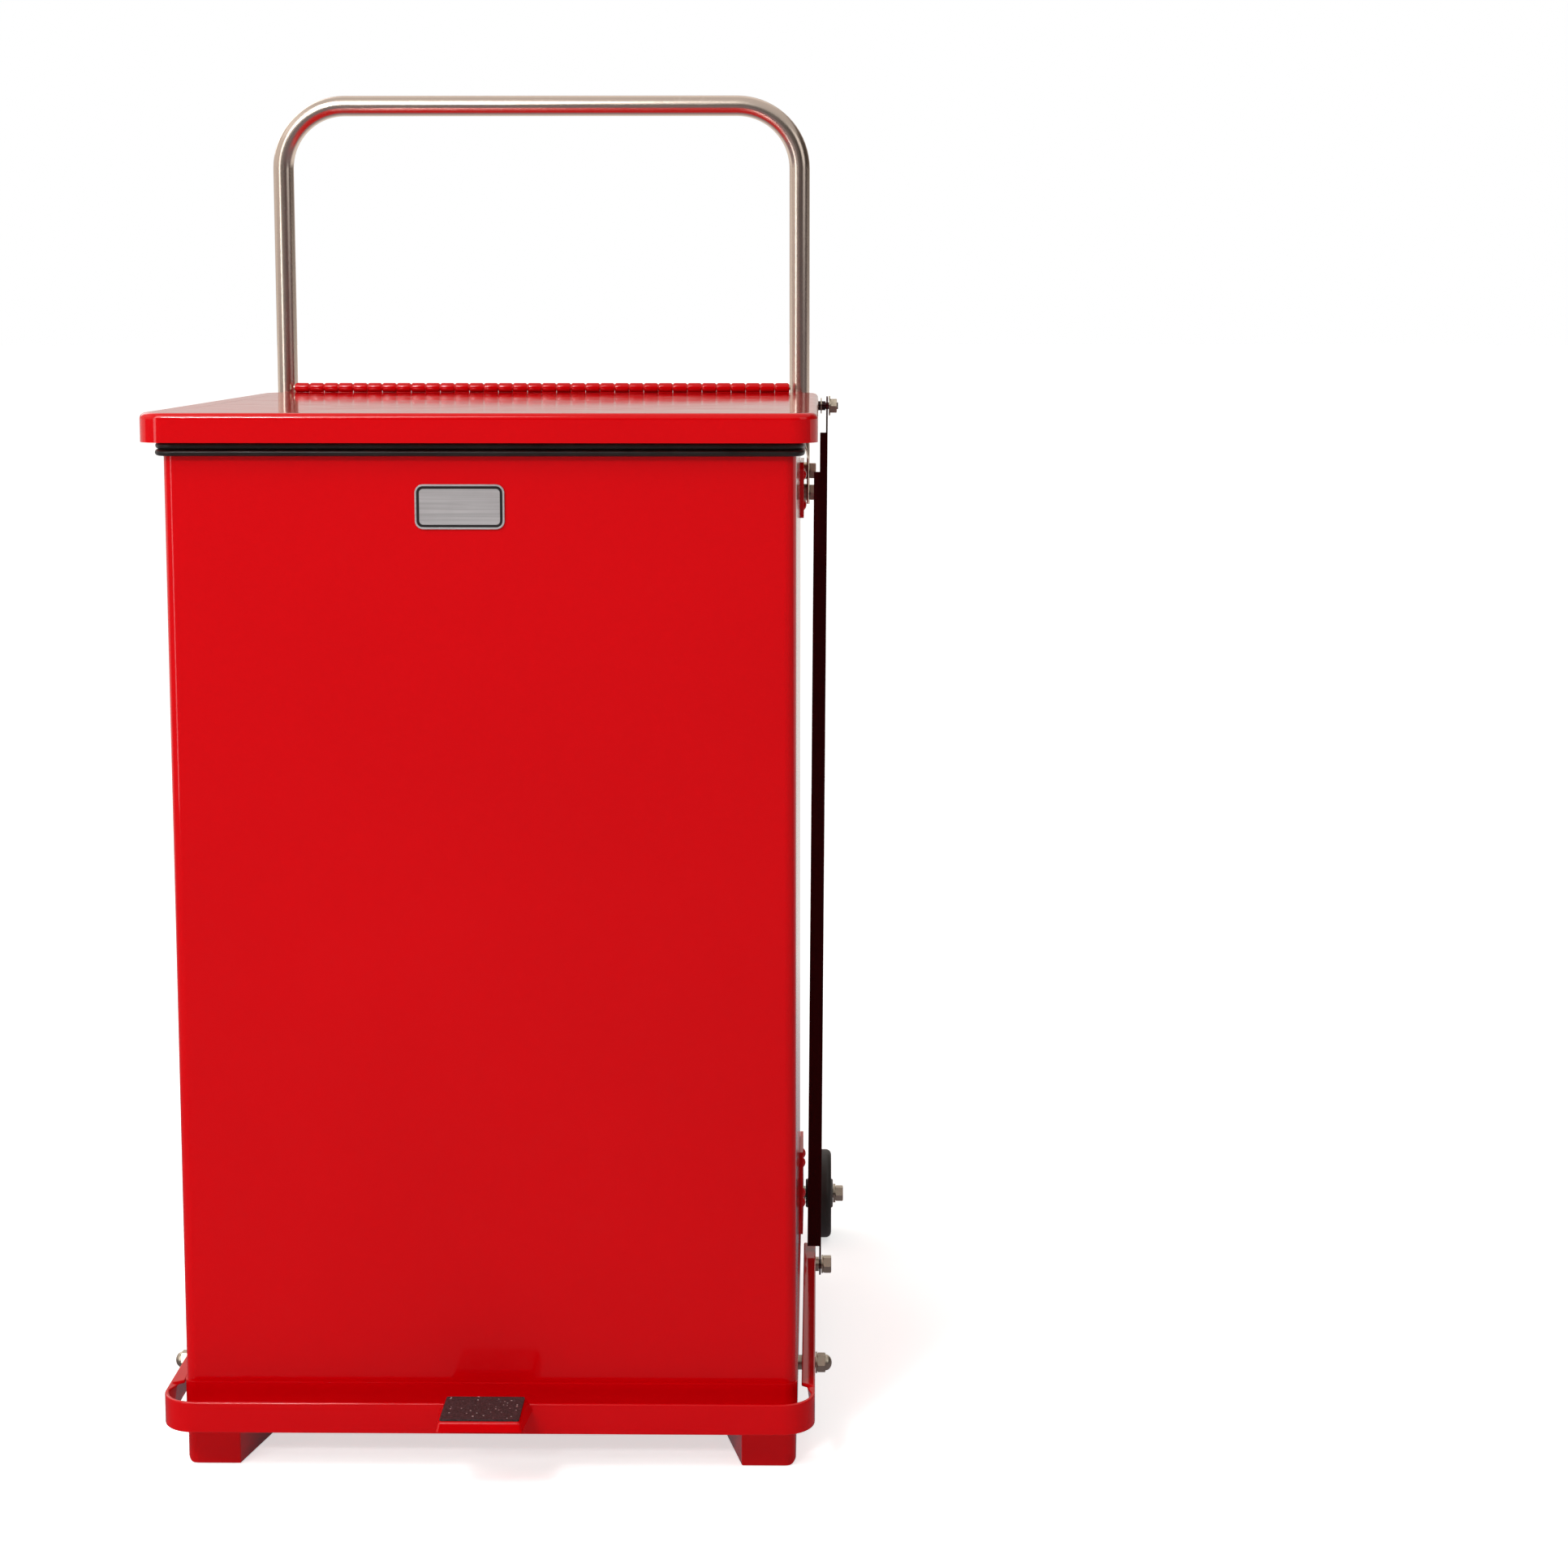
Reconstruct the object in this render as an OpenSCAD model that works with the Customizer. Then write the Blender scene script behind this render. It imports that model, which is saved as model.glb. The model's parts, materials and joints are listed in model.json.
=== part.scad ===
// Step-on steel waste can: square sheet body with a hinged lid that a foot pedal lifts through a side rod,
// two rear wheels, a tube handle and a loose moulded liner.
// X is to the right, Y to the back and Z up from the floor. Every module is drawn about the middle of
// the body, and place() then moves it so that the origin lies under the middle of the whole object.

/* [Body] */
// Outer width and depth of the square sheet body
body_w = 452; // [440:1:456]
// Outer radius of the body's four upright corners
body_r = 9; // [6:1:12]
// Thickness of the body's sheet steel
sheet_t = 1; // [0.8:0.1:1.2]
// Height of the can's floor above the ground
floor_z = 56; // [54:1:58]
// Height of the body's top edge
body_top_z = 752; // [700:1:752]

/* [Lid] */
// Outer width and depth of the square lid
lid_w = 482.6; // [476:0.2:486]
// Height of the lid's top face
lid_top_z = 778; // [778:1:790]
// Depth of the lid's turned-down skirt
lid_skirt = 21; // [20:1:24]
// Outer radius of the lid's upright corners
lid_r = 20; // [14:1:26]
// Thickness of the lid's sheet steel
lid_t = 1.2; // [1:0.1:1.4]
// Width of the flange turned inwards at the skirt's foot
lid_return = 12; // [10:1:13]

/* [Hinge] */
// Length of one knuckle of the continuous hinge
knuckle_pitch = 12.7; // [12:0.1:13]
// Number of knuckles along the hinge
knuckle_count = 34; // [30:2:34]
// Outer diameter of the hinge barrel
barrel_d = 8; // [7:0.5:8]
// Diameter of the hinge pin
pin_d = 4.4; // [4:0.1:4.6]

/* [Handle] */
// Outer diameter of the handle tube
tube_d = 17.6; // [16:0.1:18]
// Wall thickness of the handle tube
tube_wall = 1.2; // [1:0.1:1.5]
// Height of the top of the handle
handle_top_z = 1034; // [960:1:1060]
// Centre-line radius of the handle's two bends
handle_bend_r = 54; // [40:1:70]

/* [Pedal] */
// Outer width of the pedal frame
pedal_w = 480; // [478:1:484]
// Height of the pedal frame's flat bar
bar_h = 23; // [20:1:24]
// Thickness of the pedal frame's flat bar
bar_t = 3; // [2.5:0.5:3]
// Outer radius of the pedal frame's front corners
pedal_r = 25; // [20:1:30]
// Width of the foot tread
tread_w = 62; // [56:1:70]

/* [Wheels] */
// Diameter of the rear wheels
wheel_d = 80; // [76:1:80]
// Width of the tyres
tyre_w = 21; // [18:1:21]
// Diameter of the axle bolts
axle_d = 8; // [6:0.5:8]

/* [Liner] */
// Height of the liner
liner_h = 674; // [600:1:676]
// Width of the liner's rim
liner_rim_w = 412; // [400:1:416]
// Width of the liner's body under the rim
liner_top_w = 387; // [376:1:388]
// Width of the liner's body at its foot
liner_foot_w = 364; // [350:1:370]
// Wall thickness of the liner
liner_wall = 3; // [2.5:0.5:3.5]

/* [Hidden] */
$fn = 96;

// Paint and metal colours
red = [0.78, 0.01, 0.03];
dark_red = [0.3, 0.01, 0.02];
steel = [0.72, 0.68, 0.62];
zinc = [0.62, 0.58, 0.5];
black = [0.05, 0.05, 0.05];
grey = [0.35, 0.35, 0.34];

// Clearances: between a shaft and its hole, and between a rivet and its hole
run_gap = 0.05;
rivet_gap = 0.05;
// How far the whole object's middle lies behind the middle of the body
centre_y = 20.5;

// Halves and heights used by several pieces
body_half = body_w / 2;
lid_half = lid_w / 2;
inner_half = body_half - sheet_t;
skirt_z = lid_top_z - lid_skirt;
lid_edge_r = 4.5;

// Base pan
pan_t = 1;
pan_floor_t = 1.2;
pan_low_z = 36;
pan_rim_z = floor_z + 7;

// Rim gasket, a grip over the sheet's edge with two beads outside
gasket_low_z = 747;
gasket_top_z = skirt_z - 0.3;
gasket_out = 6;
bead_r = 2.4;

// Front feet
foot_w = 40;
foot_depth = 60;
foot_flare = 13;
foot_t = 2;
foot_corner_r = 5;
foot_top_z = floor_z - pan_floor_t;

// Nameplate
plate_w = 64;
plate_h = 32;
plate_t = 1.2;
plate_x = -13.7;
plate_z = 711;

// Continuous hinge behind the lid's rear skirt: the lid leaf, the gap and the body leaf lie in that order
leaf_t = 1.2;
leaf_gap = 0.3;
hinge_len = knuckle_pitch * knuckle_count;
hinge_y = lid_half + leaf_t + leaf_gap / 2;
hinge_z = lid_top_z + 4.2;
knuckle_gap = 0.4;
body_leaf_low_z = 752;
hinge_rivet_count = 8;
hinge_rivet_z = 763;
hinge_hole_d = 3.2;
riser_t = 1.5;
riser_y = lid_half + 2 * leaf_t + leaf_gap;
riser_top_z = 772;
riser_step_z = 716;
riser_low_z = 690;

// Handle
handle_x = 224.7;
handle_y = 256;
handle_axis_z = handle_top_z - tube_d / 2;
flat_t = 3;
flat_x = 231;
flat_w = 26;
flat_low_z = 680;
flat_top_z = 722;
tube_low_z = 745;
vent_d = 4;
handle_bolt_z = [690, 709];
handle_bolt_d = 8;

// Bolts and nuts of the handle and the axles
bolt_flats = 13;
bolt_head_h = 5.3;
nut_h = 6.5;
bolt_tail = 9;

// Handle brackets on the body's sides
bracket_t = 3;
bracket_front_y = 184;
bracket_back_y = 269;
bracket_low_z = 672;
bracket_top_z = 720;
bracket_rivet_y = [194, 211];
bracket_rivet_z = [683, 709];
rivet_d = 4.8;
rivet_head_d = 9;

// Wheels and their brackets
wheel_y = 299;
wheel_z = wheel_d / 2;
tyre_x = 233;
hub_x = 230.6;
hub_w = 25;
hub_d = 26;
rim_d = 58;
wheel_plate_t = 2.8;
wheel_plate_front_y = 170;
wheel_plate_top_z = 118;
wheel_plate_low_z = 44;
wheel_rivet_y = [180, 207];
wheel_rivet_z = [70, 106];
wheel_eye_r = 16;

// Pedal pivot and pedal frame
pivot_y = -138;
pivot_z = 46;
pivot_d = 8;
pedal_half = pedal_w / 2;
bar_front_y = -253;
bar_low_z = pivot_z - bar_h / 2;
bar_top_z = pivot_z + bar_h / 2;
arm_end_y = 109;
flange_w = 10;
flange_front_y = -215;
bush_d = 11;

// Foot tread
tread_front_y = -298;
tread_z = bar_top_z + 4;
tread_t = 2;
tread_lip = 7;
pad_w = 57;
pad_d = 43;
pad_t = 1.2;

// Lift rod on the right side, with its pivots on the pedal arm and on the lid
rod_low_y = 87;
rod_top_y = 211;
rod_low_z = pivot_z;
rod_top_z = 767.5;
rod_low_x = 243;
rod_top_x = 248;
rod_t = 1.5;
rod_depth = 14;
rod_flange_w = 11.5;
rod_len = norm([rod_top_y - rod_low_y, rod_top_z - rod_low_z]);
rod_lean_back = atan2(rod_top_y - rod_low_y, rod_top_z - rod_low_z);
rod_lean_out = atan2(rod_top_x - rod_low_x, rod_len);
rod_bolt_d = 8;
stud_d = 6;
// The rod's top eye is a slot, which takes up the arc that the lid's stud swings through
slot_len = 16;
slot_h = 8.4;

// Nut on the rod's lower bolt
rod_nut_x = 246.5;
rod_nut_h = 6.8;

// What stands on the lid's stud, from the lid outwards: sleeve, washer, sleeve, rod, washer, nut
stud_bore = stud_d + 2 * rivet_gap;
stud_sleeve_d = 8;
stud_washer_x = 243.2;
stud_washer_t = 1;
stud_sleeve_end_x = 247.4;
stud_outer_washer_x = 250.2;
stud_nut_x = 251.6;
stud_nut_h = 5.6;

// ---- helpers ----

module place() {
  translate([0, -centre_y, 0]) children();
}

module both_sides() {
  children();
  mirror([1, 0, 0]) children();
}

// A round bar along X, from x0 to x1, at y and z
module x_bar(x0, x1, d, y = 0, z = 0) {
  translate([x0, y, z]) rotate([0, 90, 0]) cylinder(h = x1 - x0, d = d);
}

// A sleeve or washer along X
module x_ring(x0, x1, d, bore, y = 0, z = 0) {
  difference() {
    x_bar(x0, x1, d, y, z);
    x_bar(x0 - 1, x1 + 1, bore, y, z);
  }
}

// A hexagonal head or nut along X, given across its flats
module x_hex(x0, x1, flats, y = 0, z = 0) {
  translate([x0, y, z]) rotate([0, 90, 0]) cylinder(h = x1 - x0, d = flats / cos(30), $fn = 6);
}

module x_nut(x0, x1, flats, bore, y = 0, z = 0) {
  difference() {
    x_hex(x0, x1, flats, y, z);
    x_bar(x0 - 1, x1 + 1, bore, y, z);
  }
}

// A low dome on a face whose outward direction is +X, turned about the X direction
module x_dome(x, d, cap_h, y = 0, z = 0) {
  ball_r = (d * d / 4 + cap_h * cap_h) / (2 * cap_h);
  translate([x, y, z]) rotate([0, 90, 0]) rotate_extrude() intersection() {
    translate([0, cap_h - ball_r]) circle(r = ball_r);
    square([d, d]);
  }
}

module x_rivet_head(x, d, y = 0, z = 0) {
  x_dome(x, d, d / 4, y, z);
}

// A square with round corners, centred, in plan
module round_square(w, r) {
  square([w, w - 2 * r], center = true);
  square([w - 2 * r, w], center = true);
  for (sx = [-1, 1], sy = [-1, 1])
    translate([sx * (w / 2 - r), sy * (w / 2 - r)]) circle(r = r);
}

module round_rect(w, h, r) {
  square([w, h - 2 * r], center = true);
  square([w - 2 * r, h], center = true);
  for (sx = [-1, 1], sy = [-1, 1])
    translate([sx * (w / 2 - r), sy * (h / 2 - r)]) circle(r = r);
}

// Sweeps a profile round a square with corner radius r. In the profile x is the distance from
// the corner's centre, so x = r is the outline itself, and y is the height.
module square_sweep(w, r) {
  for (q = [0:3])
    rotate(90 * q) translate([w / 2 - r, w / 2 - r, 0]) {
      rotate_extrude(angle = 90) children();
      rotate([90, 0, 0]) linear_extrude(w - 2 * r) children();
    }
}

// A plate standing in the YZ plane with its outline in (y, z), from x0 to x0 + t
module yz_plate(x0, t) {
  translate([x0, 0, 0]) rotate([90, 0, 90]) linear_extrude(t) children();
}

// ---- body ----

module body_shell() {
  color(red) place() difference() {
    translate([0, 0, floor_z]) linear_extrude(body_top_z - floor_z) difference() {
      round_square(body_w, body_r);
      round_square(body_w - 2 * sheet_t, body_r - sheet_t);
    }
    both_sides() {
      for (y = bracket_rivet_y, z = bracket_rivet_z) x_bar(inner_half - 1, body_half + 1, rivet_d, y, z);
      for (y = wheel_rivet_y, z = wheel_rivet_z) x_bar(inner_half - 1, body_half + 1, rivet_d, y, z);
    }
  }
}

// The pressed floor: a flat plate with a skirt that wraps the foot of the shell and hides the pivot
module base_pan() {
  outer = body_w + 2 * pan_t;
  color(red) place() difference() {
    union() {
      translate([0, 0, pan_low_z]) linear_extrude(pan_rim_z - pan_low_z) difference() {
        round_square(outer, body_r + pan_t);
        round_square(body_w, body_r);
      }
      translate([0, 0, floor_z - pan_floor_t]) linear_extrude(pan_floor_t)
        round_square(body_w + pan_t, body_r);
    }
    x_bar(-body_half - 5, body_half + 5, pivot_d + 2 * run_gap, pivot_y, pivot_z);
    // room for the wheel brackets, which lie flat on the shell
    both_sides() yz_plate(body_half, 5) offset(delta = 0.5) wheel_plate_outline();
  }
}

// Section of the gasket, clear of the sheet that it grips
module gasket_profile() {
  difference() {
    gasket_outline(body_r);
    translate([body_r - sheet_t - 0.05, 0]) square([sheet_t + 0.1, body_top_z]);
  }
}

// wall is where the sheet's outer face lies in the sweep
module gasket_outline(wall) {
  translate([wall - sheet_t - 2.2, body_top_z - 8]) square([2.2, 8]);
  translate([wall - sheet_t - 2.2, body_top_z]) square([sheet_t + 5.2, gasket_top_z - body_top_z - 1]);
  translate([wall, gasket_low_z + 1]) square([3, gasket_top_z - gasket_low_z - 2]);
  translate([wall + gasket_out - bead_r, gasket_low_z + bead_r]) circle(r = bead_r);
  translate([wall, gasket_low_z + 0.6]) square([gasket_out - bead_r, 2 * bead_r - 1.2]);
  translate([wall + gasket_out - bead_r - 0.4, gasket_top_z - bead_r]) circle(r = bead_r);
  translate([wall - 1, gasket_top_z - bead_r]) circle(r = bead_r);
  translate([wall - 1, gasket_top_z - 1.4]) square([gasket_out - bead_r + 0.6, 1.1]);
}

module rim_gasket() {
  color(black) place() square_sweep(body_w, body_r) gasket_profile();
}

// Plan of one front foot, open at the back; the inner flange flares towards the middle
module foot_plan(inset) {
  lean = tan(foot_flare) * foot_depth;
  intersection() {
    polygon([
      [body_half - inset, -body_half + inset],
      [body_half - foot_w + inset, -body_half + inset],
      [body_half - foot_w - lean + inset, -body_half + foot_depth + inset],
      [body_half - inset, -body_half + foot_depth + inset]
    ]);
    round_square(body_w - 2 * inset, body_r - inset);
  }
}

module front_foot() {
  front_w = foot_w + 40;
  place() intersection() {
    difference() {
      linear_extrude(foot_top_z) foot_plan(0);
      translate([0, 0, foot_t]) linear_extrude(foot_top_z) foot_plan(foot_t);
    }
    // the lower outer edge is rounded, seen from the front
    translate([body_half - front_w / 2, 0, 50]) rotate([90, 0, 0]) linear_extrude(600, center = true)
      round_rect(front_w, 100, foot_corner_r);
  }
}

module front_foot_right() {
  color(red) front_foot();
}

module front_foot_left() {
  color(red) mirror([1, 0, 0]) front_foot();
}

module nameplate() {
  color(steel) place() translate([plate_x, -body_half, plate_z]) rotate([90, 0, 0]) difference() {
    linear_extrude(plate_t) round_rect(plate_w, plate_h, 5);
    translate([0, 0, plate_t - 0.3]) linear_extrude(1) round_rect(plate_w - 5, plate_h - 5, 3.5);
  }
}

// ---- hinge ----

// x of the start of knuckle i, counted from the left
function knuckle_x(i) = -hinge_len / 2 + i * knuckle_pitch;
function rivet_x(i) = -hinge_len / 2 + (i + 0.5) * hinge_len / hinge_rivet_count;

// Knuckles first, first + 2 and so on, with the neck that joins each one to its leaf at leaf_y
module knuckles(first, leaf_y, low_z) {
  for (i = [first:2:knuckle_count - 1]) {
    x0 = knuckle_x(i) + knuckle_gap / 2;
    x_bar(x0, x0 + knuckle_pitch - knuckle_gap, barrel_d, hinge_y, hinge_z);
    translate([x0, leaf_y, low_z]) cube([knuckle_pitch - knuckle_gap, leaf_t, hinge_z - low_z]);
  }
}

module hinge_bore(d) {
  x_bar(-hinge_len / 2 - 1, hinge_len / 2 + 1, d, hinge_y, hinge_z);
}

// Hole for rivet i of the hinge, drilled backwards from y0
module hinge_hole(i, y0) {
  translate([rivet_x(i), y0, hinge_rivet_z]) rotate([-90, 0, 0]) cylinder(h = 5, d = hinge_hole_d);
}

leaf_top_z = hinge_z - barrel_d / 2 - 0.8;

module hinge_body_leaf() {
  leaf_y = hinge_y + leaf_gap / 2;
  color(red) place() difference() {
    union() {
      translate([-hinge_len / 2, leaf_y, body_leaf_low_z])
        cube([hinge_len, leaf_t, leaf_top_z - body_leaf_low_z]);
      knuckles(0, leaf_y, body_leaf_low_z);
    }
    hinge_bore(pin_d + 2 * run_gap);
    for (i = [0:hinge_rivet_count - 1])
      hinge_hole(i, leaf_y - 1);
  }
}

module hinge_lid_leaf() {
  color(red) place() difference() {
    union() {
      translate([-hinge_len / 2, lid_half, skirt_z + 0.5])
        cube([hinge_len, leaf_t, leaf_top_z - skirt_z - 0.5]);
      knuckles(1, lid_half, skirt_z + 0.5);
    }
    hinge_bore(pin_d + 2 * run_gap);
    for (i = [0:hinge_rivet_count - 1])
      hinge_hole(i, lid_half - 1);
  }
}

module hinge_pin() {
  color(zinc) place() hinge_bore(pin_d);
}

// Z-shaped strip: up the back of the body, out behind the lid and up to the hinge
module hinge_riser() {
  color(red) place() difference() {
    union() {
      translate([-hinge_len / 2, body_half, riser_low_z])
        cube([hinge_len, riser_t, riser_step_z - riser_low_z]);
      translate([-hinge_len / 2, body_half, riser_step_z - riser_t])
        cube([hinge_len, riser_y + riser_t - body_half, riser_t]);
      translate([-hinge_len / 2, riser_y, riser_step_z - riser_t])
        cube([hinge_len, riser_t, riser_top_z - riser_step_z + riser_t]);
    }
    for (i = [0:hinge_rivet_count - 1])
      hinge_hole(i, riser_y - 1);
  }
}

// Rivets through the body leaf and the riser, domed at the back and flush at the front
module hinge_rivets() {
  shank_d = hinge_hole_d - 2 * rivet_gap;
  color(red) place() for (i = [0:hinge_rivet_count - 1])
    translate([rivet_x(i), 0, hinge_rivet_z]) rotate(90) {
      x_bar(hinge_y + leaf_gap / 2 + 0.1, riser_y + riser_t, shank_d);
      x_rivet_head(riser_y + riser_t, 6.5);
    }
}

// Rivets through the lid leaf and the lid's rear skirt, domed inside and flush behind
module lid_leaf_rivets() {
  shank_d = hinge_hole_d - 2 * rivet_gap;
  color(red) place() for (i = [0:hinge_rivet_count - 1])
    translate([rivet_x(i), 0, hinge_rivet_z]) rotate(-90) {
      x_bar(-lid_half - leaf_t + 0.1, -lid_half + lid_t, shank_d);
      x_rivet_head(-lid_half + lid_t, 6.5);
    }
}

// ---- handle ----

// The bent tube's centre line, swept by a round section of diameter d
module handle_path(d, low_z) {
  straight_x = handle_x - handle_bend_r;
  bend_z = handle_axis_z - handle_bend_r;
  x_bar(-straight_x, straight_x, d, handle_y, handle_axis_z);
  both_sides() {
    translate([handle_x, handle_y, low_z]) cylinder(h = bend_z - low_z, d = d);
    translate([straight_x, handle_y, bend_z]) rotate([90, 0, 0]) rotate_extrude(angle = 90)
      translate([handle_bend_r, 0]) circle(d = d);
  }
}

module handle_flat_end() {
  hull() {
    translate([handle_x, handle_y, tube_low_z - 0.1]) cylinder(h = 0.1, d = tube_d, $fn = 32);
    translate([flat_x, handle_y - flat_w / 2, flat_top_z]) cube([flat_t, flat_w, 0.1]);
  }
  yz_plate(flat_x, flat_t) translate([handle_y, (flat_low_z + flat_top_z) / 2])
    round_rect(flat_w, flat_top_z - flat_low_z, 6);
  // square shoulders under the flattened part
  translate([flat_x, handle_y - flat_w / 2, flat_top_z - 8]) cube([flat_t, flat_w, 8.05]);
}

module handle() {
  color(steel) place() difference() {
    union() {
      handle_path(tube_d, tube_low_z - 0.05);
      both_sides() handle_flat_end();
    }
    handle_path(tube_d - 2 * tube_wall, tube_low_z + 1);
    both_sides() {
      // small vent that opens each leg of the tube towards the middle
      x_bar(handle_x - tube_d, handle_x, vent_d, handle_y, tube_low_z + 6);
      for (z = handle_bolt_z) x_bar(flat_x - 1, flat_x + flat_t + 1, handle_bolt_d + 0.4, handle_y, z);
    }
  }
}

module handle_bracket() {
  mid_y = (bracket_front_y + bracket_back_y) / 2;
  mid_z = (bracket_low_z + bracket_top_z) / 2;
  difference() {
    yz_plate(body_half, bracket_t) translate([mid_y, mid_z])
      round_rect(bracket_back_y - bracket_front_y, bracket_top_z - bracket_low_z, 6);
    for (y = bracket_rivet_y, z = bracket_rivet_z) x_bar(body_half - 1, body_half + 5, rivet_d, y, z);
    for (z = handle_bolt_z) x_bar(body_half - 1, body_half + 5, handle_bolt_d + 0.4, handle_y, z);
  }
}

module handle_bracket_right() {
  color(red) place() handle_bracket();
}

module handle_bracket_left() {
  color(red) place() mirror([1, 0, 0]) handle_bracket();
}

// Rivet through the sheet wall and a plate of thickness t, domed on both sides
module wall_rivet(t, y, z) {
  x_bar(inner_half - 0.6, body_half + t, rivet_d - 2 * rivet_gap, y, z);
  x_rivet_head(body_half + t, rivet_head_d, y, z);
  translate([inner_half, 0, 0]) mirror([1, 0, 0]) x_rivet_head(0, rivet_head_d - 2, y, z);
}

module handle_bracket_rivets() {
  color(red) place() both_sides()
    for (y = bracket_rivet_y, z = bracket_rivet_z) wall_rivet(bracket_t, y, z);
}

module handle_spacers() {
  color(zinc) place() both_sides() for (z = handle_bolt_z)
    x_ring(body_half + bracket_t, flat_x, 15, handle_bolt_d + 0.4, handle_y, z);
}

module handle_bolts() {
  head_x = flat_x + flat_t;
  color(zinc) place() both_sides() for (z = handle_bolt_z) {
    x_hex(head_x, head_x + bolt_head_h, bolt_flats, handle_y, z);
    x_bar(body_half - bolt_tail, head_x + 1, handle_bolt_d, handle_y, z);
  }
}

module handle_nuts() {
  color(zinc) place() both_sides() for (z = handle_bolt_z)
    x_nut(body_half - nut_h, body_half, bolt_flats, handle_bolt_d + 2 * rivet_gap, handle_y, z);
}

// ---- wheels ----

// Side view of the plate that carries an axle, without the round end
module wheel_plate_outline() {
  polygon([
    [wheel_plate_front_y, wheel_plate_low_z],
    [wheel_plate_front_y, wheel_plate_top_z],
    [body_half + 8, wheel_plate_top_z],
    [wheel_y + wheel_eye_r * cos(35), wheel_z + wheel_eye_r * sin(35)],
    [wheel_y, wheel_z],
    [wheel_y - wheel_eye_r * cos(70), wheel_z - wheel_eye_r * sin(70)]
  ]);
}

module wheel_bracket() {
  difference() {
    union() {
      yz_plate(body_half, wheel_plate_t) wheel_plate_outline();
      x_bar(body_half, body_half + wheel_plate_t, 2 * wheel_eye_r, wheel_y, wheel_z);
    }
    for (y = wheel_rivet_y, z = wheel_rivet_z) x_bar(body_half - 1, body_half + 5, rivet_d, y, z);
    x_bar(body_half - 1, body_half + 5, axle_d + 2 * rivet_gap, wheel_y, wheel_z);
  }
}

module wheel_bracket_right() {
  color(red) place() wheel_bracket();
}

module wheel_bracket_left() {
  color(red) place() mirror([1, 0, 0]) wheel_bracket();
}

module wheel_bracket_rivets() {
  color(red) place() both_sides()
    for (y = wheel_rivet_y, z = wheel_rivet_z) wall_rivet(wheel_plate_t, y, z);
}

axle_head_x = 258;

module axle_bolts() {
  color(zinc) place() both_sides() {
    x_hex(axle_head_x, axle_head_x + 7, 12.6, wheel_y, wheel_z);
    x_bar(body_half - bolt_tail, axle_head_x + 1, axle_d, wheel_y, wheel_z);
  }
}

module axle_nuts() {
  color(zinc) place() both_sides()
    x_nut(body_half - nut_h, body_half, bolt_flats, axle_d + 2 * rivet_gap, wheel_y, wheel_z);
}

module axle_spacers() {
  color(zinc) place() both_sides()
    x_ring(body_half + wheel_plate_t, hub_x - 0.2, 13, axle_d + 2 * rivet_gap, wheel_y, wheel_z);
}

module axle_washers() {
  color(zinc) place() both_sides()
    x_ring(hub_x + hub_w + 0.2, axle_head_x, 17, axle_d + 2 * rivet_gap, wheel_y, wheel_z);
}

// Tyre with rounded shoulders, turned about the axle
module tyre() {
  shoulder = 5;
  tread_h = (wheel_d - rim_d) / 2;
  place() translate([tyre_x, wheel_y, wheel_z]) rotate([0, 90, 0]) rotate_extrude() {
    translate([rim_d / 2, 0]) square([tread_h - shoulder, tyre_w]);
    translate([rim_d / 2, shoulder]) square([tread_h, tyre_w - 2 * shoulder]);
    for (y = [shoulder, tyre_w - shoulder]) translate([wheel_d / 2 - shoulder, y]) circle(r = shoulder);
  }
}

// Hub with a thin web and a rim under the tyre
module hub() {
  web_inset = 4;
  web_t = 6;
  place() translate([hub_x, wheel_y, wheel_z]) rotate([0, 90, 0]) rotate_extrude() {
    translate([axle_d / 2 + run_gap, 0]) square([hub_d / 2 - axle_d / 2 - run_gap, hub_w]);
    translate([hub_d / 2 - 1, hub_w / 2 - web_t / 2]) square([rim_d / 2 - hub_d / 2 - 2, web_t]);
    translate([rim_d / 2 - 4, tyre_x - hub_x + web_inset / 2]) square([4, tyre_w - web_inset]);
  }
}

module right_tyre() {
  color(black) tyre();
}

module left_tyre() {
  color(black) mirror([1, 0, 0]) tyre();
}

module right_hub() {
  color(grey) hub();
}

module left_hub() {
  color(grey) mirror([1, 0, 0]) hub();
}

// ---- pedal ----

module pivot_shaft() {
  end_x = pedal_half + 4;
  color(zinc) place() x_bar(-end_x, end_x, pivot_d, pivot_y, pivot_z);
}

module pivot_spacers() {
  color(zinc) place() both_sides()
    x_ring(body_half + pan_t, pedal_half - bar_t - 0.2, 11, pivot_d + 2 * rivet_gap, pivot_y, pivot_z);
}

module pivot_washers() {
  color(zinc) place() both_sides()
    x_ring(pedal_half + 0.2, pedal_half + 1.6, 16, pivot_d + 2 * rivet_gap, pivot_y, pivot_z);
}

// Closed nuts with a domed end
module pivot_cap_nuts() {
  nut_x = pedal_half + 1.6;
  bore_x = pedal_half + 5;
  color(zinc) place() both_sides() difference() {
    union() {
      x_hex(nut_x, nut_x + 6.4, 13, pivot_y, pivot_z);
      x_dome(nut_x + 6.4, 12, 4.8, pivot_y, pivot_z);
    }
    x_bar(nut_x - 1, bore_x, pivot_d + 2 * rivet_gap, pivot_y, pivot_z);
  }
}

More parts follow.
